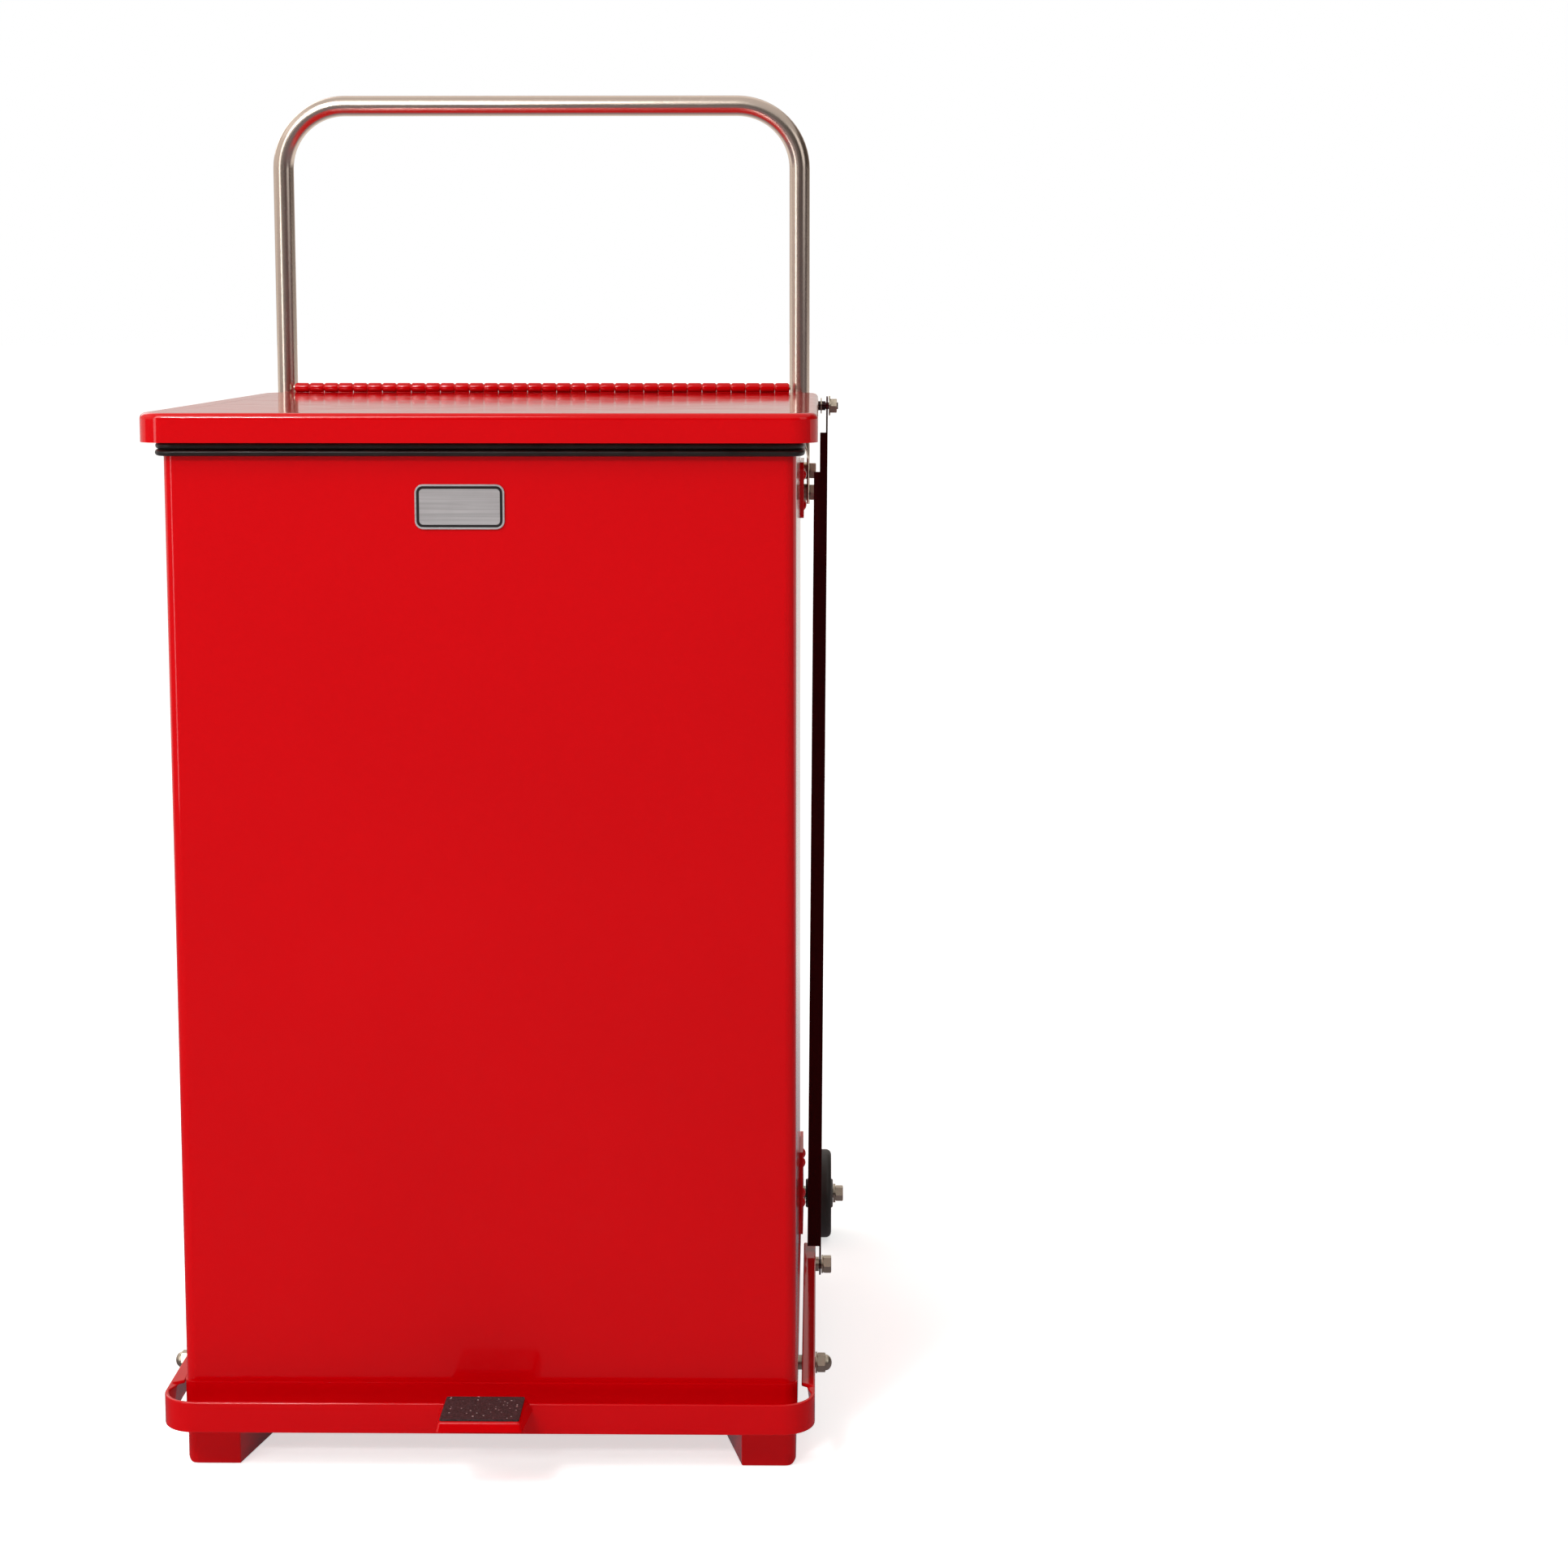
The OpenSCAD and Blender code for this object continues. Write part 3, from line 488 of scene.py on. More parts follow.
def scuff_group():
    """Thin rubbed lines: a stretched noise, cut to its crests and broken up by a wider one."""
    tree, work, entry, leave = new_group(
        "Fine scuffs", ["Vector", "Vector wide", "Scale", "Coverage"], ["Mask"])
    lines = work.noise(entry["Vector"], entry["Scale"], 3.0, 0.7)
    where = work.noise(entry["Vector wide"], 9.0, 3.0, 0.6)
    crest = work.spread(lines, 0.60, 0.70)
    patch = work.spread(where, 0.45, 0.70)
    both = work.sum(crest, patch, "MULTIPLY")
    work.feed(leave["Mask"], work.sum(both, entry["Coverage"], "MULTIPLY"))
    return tree


def peel_group():
    """Height of sprayed enamel: fine orange peel over the slow waves of thin sheet."""
    tree, work, entry, leave = new_group("Sprayed sheet", ["Vector", "Peel", "Wave"], ["Peel", "Wave"])
    work.feed(leave["Peel"], work.noise(entry["Vector"], entry["Peel"], 2.0, 0.5))
    work.feed(leave["Wave"], work.noise(entry["Vector"], entry["Wave"], 1.0, 0.4))
    return tree


def enamel(name, colour, groups, wave=2.6, dust=0.5):
    """Glossy baked enamel on sheet steel."""
    paint = Finish(name)
    place = paint.place()
    sheet = paint.group(groups["peel"], Vector=place, Peel=260.0, Wave=wave)
    dusty = paint.dust(groups["dust"], 26.0, dust)
    lines = paint.scuffs(groups["scuff"], (60, 60, 4), 6.0, 0.35)
    tone = paint.mix(paint.noise(place, 5.0, 3.0), rgba(colour, 0.93), rgba(colour, 1.05))
    dusted = paint.mix(paint.spread(dusty, 0.1, 1.0, 0.0, 0.03), tone, (0.55, 0.48, 0.44, 1))
    marked = paint.mix(paint.spread(lines, 0.0, 1.0, 0.0, 0.05), dusted, rgba(colour, 1.6))
    rough = paint.sum(paint.spread(dusty, 0.0, 1.0, 0.07, 0.17), paint.spread(lines, 0.0, 1.0, 0.0, 0.12))
    waves = paint.bump(sheet["Wave"], 0.6 * MM)
    peel = paint.bump(sheet["Peel"], 0.008 * MM, 0.4, waves)
    return paint.shade(
        Base_Color=marked, Roughness=rough, Normal=peel, Specular_IOR_Level=0.3, Coat_Weight=0.15,
        Coat_Roughness=0.03)


def stainless(name, colour, groups):
    """Satin tube, brushed along its length; the pattern follows the piece's own lay attribute."""
    metal = Finish(name)
    lay = metal.add("ShaderNodeAttribute", {"attribute_name": "lay"}).outputs["Vector"]
    brushed = metal.noise(metal.add("ShaderNodeMapping", Vector=lay, Scale=(900, 900, 9)).outputs["Vector"],
                          1.0, 4.0, 0.6)
    cloud = metal.noise(metal.place(), 14.0, 3.0)
    dusty = metal.dust(groups["dust"], 40.0, 0.6)
    tint = metal.mix(cloud, rgba(colour, 0.95), rgba(colour, 1.05))
    streaked = metal.mix(metal.spread(brushed, 0.3, 0.7, 0.0, 0.15), tint, rgba(colour, 0.62))
    rough = metal.sum(metal.spread(brushed, 0.3, 0.7, 0.2, 0.27), metal.spread(dusty, 0, 1, 0, 0.08))
    return metal.shade(
        Base_Color=streaked, Metallic=1.0, Roughness=rough, Normal=metal.bump(brushed, 0.004 * MM, 0.25))


def zinc(name, colour, groups):
    """Bright zinc plate: cloudy, with a fine spangle."""
    metal = Finish(name)
    place = metal.place()
    cloud = metal.noise(place, 160.0, 3.0, 0.6)
    cells = metal.add("ShaderNodeTexVoronoi", Vector=place, Scale=900.0).outputs["Distance"]
    lines = metal.scuffs(groups["scuff"], (30, 300, 300), 5.0, 0.5)
    tint = metal.mix(cloud, rgba(colour, 0.72), rgba(colour, 1.18))
    worn = metal.mix(lines, tint, (0.7, 0.68, 0.64, 1))
    rough = metal.sum(metal.spread(cloud, 0.3, 0.7, 0.2, 0.38), metal.spread(cells, 0, 1, 0, 0.08))
    return metal.shade(
        Base_Color=worn, Metallic=1.0, Roughness=rough, Normal=metal.bump(cells, 0.01 * MM, 0.4))


def rubber(name, colour, groups, rough_low, rough_high, grain=0.05 * MM):
    """Moulded rubber: fine pitted grain, dusty in its hollows."""
    gum = Finish(name)
    place = gum.place()
    pits = gum.noise(place, 1100.0, 3.0, 0.7)
    cloud = gum.noise(place, 35.0, 4.0, 0.6)
    dusty = gum.dust(groups["dust"], 55.0, 0.8)
    tone = gum.mix(cloud, rgba(colour, 0.75), rgba(colour, 1.5))
    pale = gum.mix(gum.spread(dusty, 0, 1, 0, 0.10), tone, (0.20, 0.18, 0.16, 1))
    return gum.shade(
        Base_Color=pale, Roughness=gum.spread(cloud, 0.3, 0.7, rough_low, rough_high),
        Normal=gum.bump(pits, grain, 0.5))


def liner_plastic(name, colour, groups):
    """Rotomoulded plastic: matt skin, upright rub marks and pale scuffs near the foot."""
    skin = Finish(name)
    place = skin.place()
    grain = skin.noise(place, 700.0, 3.0, 0.6)
    swell = skin.noise(place, 7.0, 2.0)
    rubbed = skin.scuffs(groups["scuff"], (55, 55, 1.6), 4.0, 0.8)
    wiped = skin.scuffs(groups["scuff"], (6, 6, 60), 3.0, 0.6, wide=0.6)
    dusty = skin.dust(groups["dust"], 18.0, 1.0)
    tone = skin.mix(swell, rgba(colour, 0.8), rgba(colour, 1.4))
    marked = skin.mix(skin.spread(rubbed, 0, 1, 0, 0.12), tone, (0.12, 0.11, 0.105, 1))
    wipes = skin.mix(skin.spread(wiped, 0, 1, 0, 0.10), marked, (0.16, 0.15, 0.14, 1))
    pale = skin.mix(skin.spread(dusty, 0, 1, 0, 0.05), wipes, (0.25, 0.23, 0.21, 1))
    rough = skin.sum(skin.spread(swell, 0.3, 0.7, 0.34, 0.46), skin.spread(rubbed, 0, 1, 0, 0.15))
    swells = skin.bump(swell, 1.2 * MM)
    return skin.shade(Base_Color=pale, Roughness=rough, Normal=skin.bump(grain, 0.04 * MM, 0.5, swells))


def moulded(name, colour, groups, gain=1.0):
    """Plain moulded plastic with flow marks and a little dust."""
    part = Finish(name)
    flow = part.noise(part.place((1, 1, 3)), 45.0, 4.0, 0.6)
    fine = part.noise(part.place(), 900.0, 2.0)
    dusty = part.dust(groups["dust"], 60.0, 0.8)
    tone = part.mix(flow, rgba(colour, 0.8 * gain), rgba(colour, 1.15 * gain))
    pale = part.mix(part.spread(dusty, 0, 1, 0, 0.12), tone, (0.3, 0.28, 0.25, 1))
    rough = part.spread(flow, 0.3, 0.7, 0.42, 0.58)
    return part.shade(Base_Color=pale, Roughness=rough, Normal=part.bump(fine, 0.02 * MM, 0.5))


def grit(name, colour):
    """Dark grit set in resin: rough grains, with a few that glint, partly through painted highlight as pale spots
    in the colour.
    """
    pad = Finish(name)
    place = pad.place()
    grains = pad.add("ShaderNodeTexVoronoi", Vector=place, Scale=950.0)
    glint = pad.add("ShaderNodeTexVoronoi", Vector=place, Scale=400.0)
    chance = pad.add("ShaderNodeSeparateColor", Color=glint.outputs["Color"]).outputs[0]
    near = pad.spread(glint.outputs["Distance"], 0.30, 0.16)
    painted_glint_and_gloss = pad.sum(near, pad.spread(chance, 0.70, 0.80), "MULTIPLY")
    shade = pad.add("ShaderNodeSeparateColor", Color=grains.outputs["Color"]).outputs[1]
    tone = pad.mix(shade, rgba(colour, 0.5), rgba(colour, 2.3))
    # painted highlight: the glinting grains are coloured pale, besides their lower roughness and a little metal
    lit = pad.mix(painted_glint_and_gloss, tone, (0.85, 0.80, 0.78, 1))
    height = pad.sum(grains.outputs["Distance"], pad.noise(place, 1500.0, 2.0))
    rough = pad.spread(painted_glint_and_gloss, 0, 1, 0.62, 0.18)
    metallic = pad.spread(painted_glint_and_gloss, 0, 1, 0, 0.3)
    return pad.shade(
        Base_Color=lit, Roughness=rough, Metallic=metallic, Normal=pad.bump(height, 0.35 * MM, 0.9))


def plate_metal(name, colour, groups):
    """Satin plate: brushed sideways, with a dark printed rim read from the piece's own attribute."""
    plate = Finish(name)
    brushed = plate.noise(plate.place((12, 1, 900)), 1.0, 3.0, 0.6)
    rim = plate.add("ShaderNodeAttribute", {"attribute_name": "rim"}).outputs["Fac"]
    cloud = plate.noise(plate.place(), 60.0, 3.0)
    face = plate.mix(plate.spread(brushed, 0.3, 0.7), rgba(colour, 0.85), rgba(colour, 1.15))
    inked = plate.mix(rim, face, (0.014, 0.012, 0.012, 1))
    return plate.shade(
        Base_Color=inked, Metallic=plate.spread(rim, 0, 1, 0.35, 0.0),
        Roughness=plate.spread(cloud, 0.3, 0.7, 0.28, 0.4), Normal=plate.bump(brushed, 0.01 * MM, 0.3))


def make_finishes():
    """Builds every finish once and returns them by the record's slot name."""
    colours = finishes()
    groups = {"dust": dust_group(), "scuff": scuff_group(), "peel": peel_group()}
    return {
        "red_enamel": enamel("Red enamel", colours.enamel, groups),
        # painted shade: the rod's enamel is the body's red made near black
        "dark_red_enamel": enamel("Painted-shade red enamel", colours.rod_enamel_painted_shade, groups, wave=6.0),
        "stainless_tube": stainless("Satin stainless", colours.stainless, groups),
        "zinc_plate": zinc("Zinc plate", colours.zinc, groups),
        "gasket_rubber": rubber("Gasket rubber", colours.rubber, groups, 0.28, 0.42, 0.02 * MM),
        "tyre_rubber": rubber("Tyre rubber", colours.tyre, groups, 0.42, 0.62),
        "hub_plastic": moulded("Hub plastic", colours.hub, groups),
        "bush_plastic": moulded("Bush plastic", (0.62, 0.60, 0.55), groups),
        "liner_plastic": liner_plastic("Liner plastic", colours.liner, groups),
        "grip_grit": grit("Grip grit", colours.grit),
        "nameplate_metal": plate_metal("Nameplate", colours.plate, groups),
    }


FINISH = {}


def finish_of(slot):
    if not FINISH:
        FINISH.update(make_finishes())
    return FINISH[slot]


def slot_of(node):
    rows = {row["node"]: row["material_slot"] for row in frame["record"]["subparts"]}
    return rows[node]


def body_of(node):
    bodies = frame["record"]["behaviour"]["bodies"]
    return next(body for body, nodes in bodies.items() if node in nodes)


def stand_in(obj, node, *more, name=None, angle=38):
    """Settles a piece that takes the place of a CAD node, with that node's body and finish."""
    slot = slot_of(node)
    name = name or node + "_piece"
    return settle(obj, name, body_of(node), finish_of(slot), slot, node, *more, angle=angle)


def joint_place(name):
    joint = next(j for j in frame["joints"] if j["name"] == name)
    return Vector(joint["pos_m"])


# ---------------------------------------------------------------- pieces


class Piece:
    """Shared settings of the operators that build pieces."""

    bl_options = {"REGISTER", "UNDO"}


class WASTECAN_OT_body_shell(Piece, bpy.types.Operator):
    """Build the sheet body with its round corners and the lap seam up its back"""

    bl_idname = "wastecan.body_shell"
    bl_label = "Body Shell"

    def execute(self, context):
        low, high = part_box("body_shell")
        s = sizes()
        shell = block(low, high)
        with editing(shell):
            remove_faces(lambda f: abs(f.normal.z) > 0.9)
            round_off(upright, s.body_corner, 10)
        thicken(shell, s.sheet)
        # the lap seam stops under the hinge strip
        seam_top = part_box("hinge_riser")[0].z - 2 * MM
        seam = block((-s.seam_width / 2, high.y - 0.2 * MM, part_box("base_pan")[1].z + 1 * MM),
                     (s.seam_width / 2, high.y + 0.9 * MM, seam_top))
        break_edges(seam, 0.6 * MM)
        stand_in(joined([shell, seam]), "body_shell")
        return {"FINISHED"}


class WASTECAN_OT_sheet_parts(Piece, bpy.types.Operator):
    """Build the folded and cut sheet parts: base pan, feet, hinge strip, brackets and lift rod"""

    bl_idname = "wastecan.sheet_parts"
    bl_label = "Sheet Parts"

    def execute(self, context):
        broken = {
            "base_pan": 0.48 * MM, "front_foot_left": 0.8 * MM, "front_foot_right": 0.8 * MM,
            "hinge_riser": 0.5 * MM, "handle_bracket_left": 0.5 * MM, "handle_bracket_right": 0.5 * MM,
            "wheel_bracket_left": 0.5 * MM, "wheel_bracket_right": 0.5 * MM, "lift_rod": 0.35 * MM,
        }
        for node, width in broken.items():
            stand_in(softened(node, width), node)
        return {"FINISHED"}


class WASTECAN_OT_nameplate(Piece, bpy.types.Operator):
    """Build the plain nameplate: a round-cornered plate with a bright edge and a dark sunk band"""

    bl_idname = "wastecan.nameplate"
    bl_label = "Nameplate"

    def execute(self, context):
        low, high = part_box("nameplate")
        corner = 6 * MM
        edge, band, step = 1.2 * MM, 1.8 * MM, 0.15 * MM
        band_start = edge + step / 2
        band_end = edge + step + band + step / 3
        plate = block(low, high)
        with editing(plate):
            round_off(lambda e: all(at(a, b) for a, b in zip(e.verts[0].co.xz, e.verts[1].co.xz)), corner, 8)
            pick("FACE", lambda f: f.normal.y < -0.9)
            for width, sink in ((edge, 0), (step, 0.3 * MM), (band, 0), (step, -0.15 * MM)):
                bpy.ops.mesh.inset(thickness=width)
                bpy.ops.transform.translate(value=(0, sink, 0))
        rim = plate.data.attributes.new("rim", "FLOAT", "POINT")
        mid = (low + high) / 2
        half = (high - low) / 2
        for i, v in enumerate(plate.data.vertices):
            # how far the point lies inside the round-cornered outline
            over_x = abs(v.co.x - mid.x) - half.x + corner
            over_z = abs(v.co.z - mid.z) - half.z + corner
            inside = corner - math.hypot(max(over_x, 0), max(over_z, 0)) - min(max(over_x, over_z), 0)
            rim.data[i].value = float(band_start < inside < band_end and v.co.y < mid.y)
        break_edges(plate, 0.15 * MM, 2, 60)
        stand_in(plate, "nameplate")
        return {"FINISHED"}


class WASTECAN_OT_hinge(Piece, bpy.types.Operator):
    """Build the continuous hinge: two leaves whose chamfered knuckles take turns along the pin"""

    bl_idname = "wastecan.hinge"
    bl_label = "Hinge"

    def execute(self, context):
        pin = joint_place("lid_hinge")
        count = sizes().knuckles
        start, end = (corner.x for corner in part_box("hinge_riser"))
        pitch = (end - start) / count
        # the leaves' sheet and the space between them, the gap beside a knuckle, its bore and chamfer
        sheet, between = 1.2 * MM, 0.3 * MM
        gap, bore, cut, skin = 0.06 * MM, 2.25 * MM, 1.1 * MM, 0.03 * MM
        for node, first in (("hinge_body_leaf", 0), ("hinge_lid_leaf", 1)):
            low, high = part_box(node)
            radius = high.z - pin.z
            leaf_y = pin.y + between / 2 if first == 0 else pin.y - between / 2 - sheet
            x0 = start + first * pitch + gap
            x1 = x0 + pitch - 2 * gap
            knuckle = lathe([
                (x0, bore), (x0, radius - cut), (x0 + cut * 1.3, radius), (x1 - cut * 1.3, radius),
                (x1, radius - cut), (x1, bore), (x0, bore)], pin.y, pin.z, 24)
            # the neck is a little thinner than the leaf, so that no two faces lie in one plane
            neck = block((x0, leaf_y + skin, low.z + 1 * MM), (x1, leaf_y + sheet - skin, pin.z - 2.6 * MM))
            one = joined([knuckle, neck])
            moves = [Matrix.Translation((2 * i * pitch, 0, 0)) for i in range(1, count // 2)]
            copies = [moved_copy(one, move) for move in moves]
            leaf = block((start, leaf_y, low.z),
                         (start + count * pitch, leaf_y + sheet, pin.z - radius - 0.8 * MM))
            break_edges(leaf, 0.3 * MM)
            stand_in(joined([leaf, one, *copies]), node)
        return {"FINISHED"}


class WASTECAN_OT_handle(Piece, bpy.types.Operator):
    """Build the bent tube handle, whose legs are pressed flat where they are bolted on"""

    bl_idname = "wastecan.handle"
    bl_label = "Handle"

    def execute(self, context):
        low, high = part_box("handle")
        s = sizes()
        radius = s.tube / 2
        leg = Vector((self.leg_x(), (low.y + high.y) / 2, 0))
        flat_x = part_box("handle_bolts")[1].x - BOLT_HEAD - s.flat / 2
        top = high.z - radius
        bend_z = top - s.bend
        tube = primitive(
            "circle", vertices=40, radius=radius, location=(0, leg.y, top), rotation=(0, math.pi / 2, 0))
        with editing(tube):
            pick_all()
            extrude((leg.x - s.bend, 0, 0))
            bpy.ops.mesh.spin(
                steps=18, angle=-math.pi / 2, center=(leg.x - s.bend, leg.y, bend_z), axis=(0, 1, 0))
            extrude((0, 0, s.taper_top - bend_z))
            steps = 6
            ring = Vector((leg.x, leg.y, s.taper_top))
            width, depth = 1.0, 1.0
            for i in range(1, steps + 1):
                ease = (1 - math.cos(math.pi * i / steps)) / 2
                new_width = 1 + (s.flat / s.tube - 1) * ease
                new_depth = 1 + (s.flat_width / s.tube - 1) * ease
                new_x = leg.x + (flat_x - leg.x) * ease
                step = Vector((new_x - ring.x, 0, (s.taper_foot - s.taper_top) / steps))
                ring += step
                extrude(step, (new_width / width, new_depth / depth, 1), ring)
                width, depth = new_width, new_depth
            for drop, squeeze in ((low.z + 5 * MM - s.taper_foot, 1), (-3.4 * MM, 0.86), (-1.6 * MM, 0.62)):
                ring.z += drop
                extrude((0, 0, drop), (1, squeeze, 1), ring)
            bpy.ops.mesh.edge_face_add()
        modify(tube, "MIRROR", use_axis=(True, False, False), use_clip=True, merge_threshold=0.01 * MM)
        with editing(tube):
            close_up(0.01 * MM)
        self.lay_grain(tube, leg, s.bend, top)
        stand_in(tube, "handle")
        return {"FINISHED"}

    def leg_x(self):
        """Distance of the legs from the middle, from the CAD tube's width above its flat ends."""
        upper = [v.co.x for v in frame["nodes"]["handle"].data.vertices if v.co.z > 0.8]
        return max(upper) - sizes().tube / 2

    def lay_grain(self, tube, leg, bend, top):
        """Stores where each point lies round and along the tube, for the brushed finish."""
        lay = tube.data.attributes.new("lay", "FLOAT_VECTOR", "POINT")
        corner = Vector((leg.x - bend, leg.y, top - bend))
        arc = bend * math.pi / 2
        for i, v in enumerate(tube.data.vertices):
            x, y, z = abs(v.co.x), v.co.y - leg.y, v.co.z
            if x < corner.x:
                along, out = x, z - top
            elif z > corner.z:
                turn = math.atan2(x - corner.x, z - corner.z)
                along, out = corner.x + bend * turn, math.hypot(x - corner.x, z - corner.z) - bend
            else:
                along, out = corner.x + arc + corner.z - z, x - leg.x
            lay.data[i].vector = (y, out, along * math.copysign(1, v.co.x))


class WASTECAN_OT_wheels(Piece, bpy.types.Operator):
    """Build the two wheels: a round-shouldered tyre with side rings on a moulded, webbed hub"""

    bl_idname = "wastecan.wheels"
    bl_label = "Wheels"

    def execute(self, context):
        axle = joint_place("right_wheel_spin")
        low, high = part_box("right_tyre")
        hub_low, hub_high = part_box("right_hub")
        radius = (high.z - low.z) / 2
        rim = (hub_high.z - hub_low.z) / 2
        shoulder = 5 * MM
        bead = 1.2 * MM
        x0, x1 = low.x, high.x
        arc = [(math.sin(a), math.cos(a)) for a in (math.radians(15 * i) for i in range(7))]
        left = [(x0 + shoulder * (1 - s), radius - shoulder * (1 - c)) for s, c in reversed(arc)]
        right = [(x1 - shoulder * (1 - s), radius - shoulder * (1 - c)) for s, c in arc]
        side = [(rim, 0), (rim + 1.6 * MM, 0), (rim + 2.2 * MM, bead * 0.5), (rim + 3.2 * MM, bead * 0.5),
                (rim + 3.8 * MM, 0)]
        outline = [(x0 + d, r) for r, d in side] + left + right + [(x1 - d, r) for r, d in reversed(side)]
        tyre = lathe(outline + [outline[0]], axle.y, axle.z, 96)
        web = 3 * MM
        boss, bore = 13 * MM, 4.05 * MM
        mid = (hub_low.x + hub_high.x) / 2
        inset = 2 * MM
        hub = lathe([
            (hub_low.x, bore), (hub_low.x, boss - 0.8 * MM), (hub_low.x + 0.8 * MM, boss),
            (mid - web - 1 * MM, boss + 0.6 * MM), (mid - web, boss + 2 * MM), (mid - web, rim - 6 * MM),
            (mid - web - 1.2 * MM, rim - 4 * MM), (x0 + inset, rim - 3.4 * MM),
            (x0 + inset - 0.6 * MM, rim - 0.4 * MM), (x0 + inset, rim), (x1 - inset, rim),
            (x1 - inset + 0.6 * MM, rim - 0.4 * MM),
            (x1 - inset, rim - 3.4 * MM), (mid + web + 1.2 * MM, rim - 4 * MM), (mid + web, rim - 6 * MM),
            (mid + web, boss + 2 * MM), (mid + web + 1 * MM, boss + 0.6 * MM), (hub_high.x - 0.8 * MM, boss),
            (hub_high.x, boss - 0.8 * MM), (hub_high.x, bore), (hub_low.x, bore)],
            axle.y, axle.z, 64)
        ribs = []
        for i in range(6):
            rib = block((mid - 6 * MM, axle.y - 1 * MM, axle.z + boss - 1 * MM),
                        (mid + 6 * MM, axle.y + 1 * MM, axle.z + rim - 3 * MM))
            break_edges(rib, 0.4 * MM)
            turn = Matrix.Rotation(i * math.pi / 3, 4, "X")
            centre = Matrix.Translation(axle)
            rib.data.transform(centre @ turn @ centre.inverted())
            ribs.append(rib)
        hub = joined([hub, *ribs])
        stand_in(mirrored_copy(tyre), "left_tyre", angle=50)
        stand_in(mirrored_copy(hub), "left_hub")
        stand_in(tyre, "right_tyre", angle=50)
        stand_in(hub, "right_hub")
        return {"FINISHED"}


class WASTECAN_OT_fasteners(Piece, bpy.types.Operator):
    """Build the chamfered nuts and bolt heads and the domed cap nuts"""

    bl_idname = "wastecan.fasteners"
    bl_label = "Fasteners"

    def execute(self, context):
        self.handle_fasteners()
        self.axle_fasteners()
        self.cap_nuts()
        self.link_fasteners()
        return {"FINISHED"}

    def bolt(self, head, end_x, y, z, flats):
        """A bolt along X: its head between two x values, and its shank to end_x."""
        shank = SHANK_RADIUS
        near = min(head, key=lambda x: abs(x - end_x))
        x0, x1 = sorted((near, end_x))
        tip = 0.8 * MM
        body = lathe([(x0, 0), (x0, shank - tip), (x0 + tip, shank), (x1, shank), (x1, 0)], y, z, 32)
        return joined([hexagon(*head, flats, y, z), body])

    def handle_fasteners(self):
        low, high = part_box("handle_bolts")
        nut_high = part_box("handle_nuts")[1]
        y = (low.y + high.y) / 2
        flats = high.y - low.y
        half = flats / math.sqrt(3)
        heights = (low.z + half, high.z - half)
        head = (high.x - BOLT_HEAD, high.x)
        bolts = [self.bolt(head, nut_high.x - BOLT_TAIL, y, z, flats) for z in heights]
        nuts = [hexagon(nut_high.x - NUT_HEIGHT, nut_high.x, flats, y, z) for z in heights]
        for node, parts in (("handle_bolts", bolts), ("handle_nuts", nuts)):
            right = joined(parts)
            stand_in(joined([right, mirrored_copy(right)]), node, angle=25)

    def axle_fasteners(self):
        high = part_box("axle_bolts")[1]
        nut_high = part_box("axle_nuts")[1]
        axle = joint_place("right_wheel_spin")
        head = (high.x - AXLE_HEAD, high.x)
        right = self.bolt(head, nut_high.x - BOLT_TAIL, axle.y, axle.z, 12.6 * MM)
        stand_in(joined([right, mirrored_copy(right)]), "axle_bolts", angle=25)
        nut = hexagon(nut_high.x - NUT_HEIGHT, nut_high.x, NUT_FLATS, axle.y, axle.z)
        stand_in(joined([nut, mirrored_copy(nut)]), "axle_nuts", angle=25)

    def cap_nuts(self):
        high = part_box("pivot_cap_nuts")[1]
        pivot = joint_place("pedal_pivot")
        dome = 4.8 * MM
        x1 = high.x - dome
        radius = 6 * MM
        steps = 8
        curve = [(x1 - 0.2 * MM, 0)] + [
            (x1 + dome * math.sin(a), radius * math.cos(a))
            for a in (math.pi / 2 * i / steps for i in range(steps + 1))]
        cap = lathe(curve, pivot.y, pivot.z, 40)
        nut = joined([hexagon(x1 - 6.4 * MM, x1, NUT_FLATS, pivot.y, pivot.z), cap])
        stand_in(joined([nut, mirrored_copy(nut)]), "pivot_cap_nuts", angle=30)

    def link_fasteners(self):
        low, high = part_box("rod_pivot_nut")
        pivot = joint_place("rod_pivot")
        stand_in(hexagon(low.x, high.x, NUT_FLATS, pivot.y, pivot.z), "rod_pivot_nut", angle=25)
        low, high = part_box("lid_stud_nut")
        y, z = (low.y + high.y) / 2, (low.z + high.z) / 2
        stand_in(hexagon(low.x, high.x, 11.7 * MM, y, z), "lid_stud_nut", angle=25)


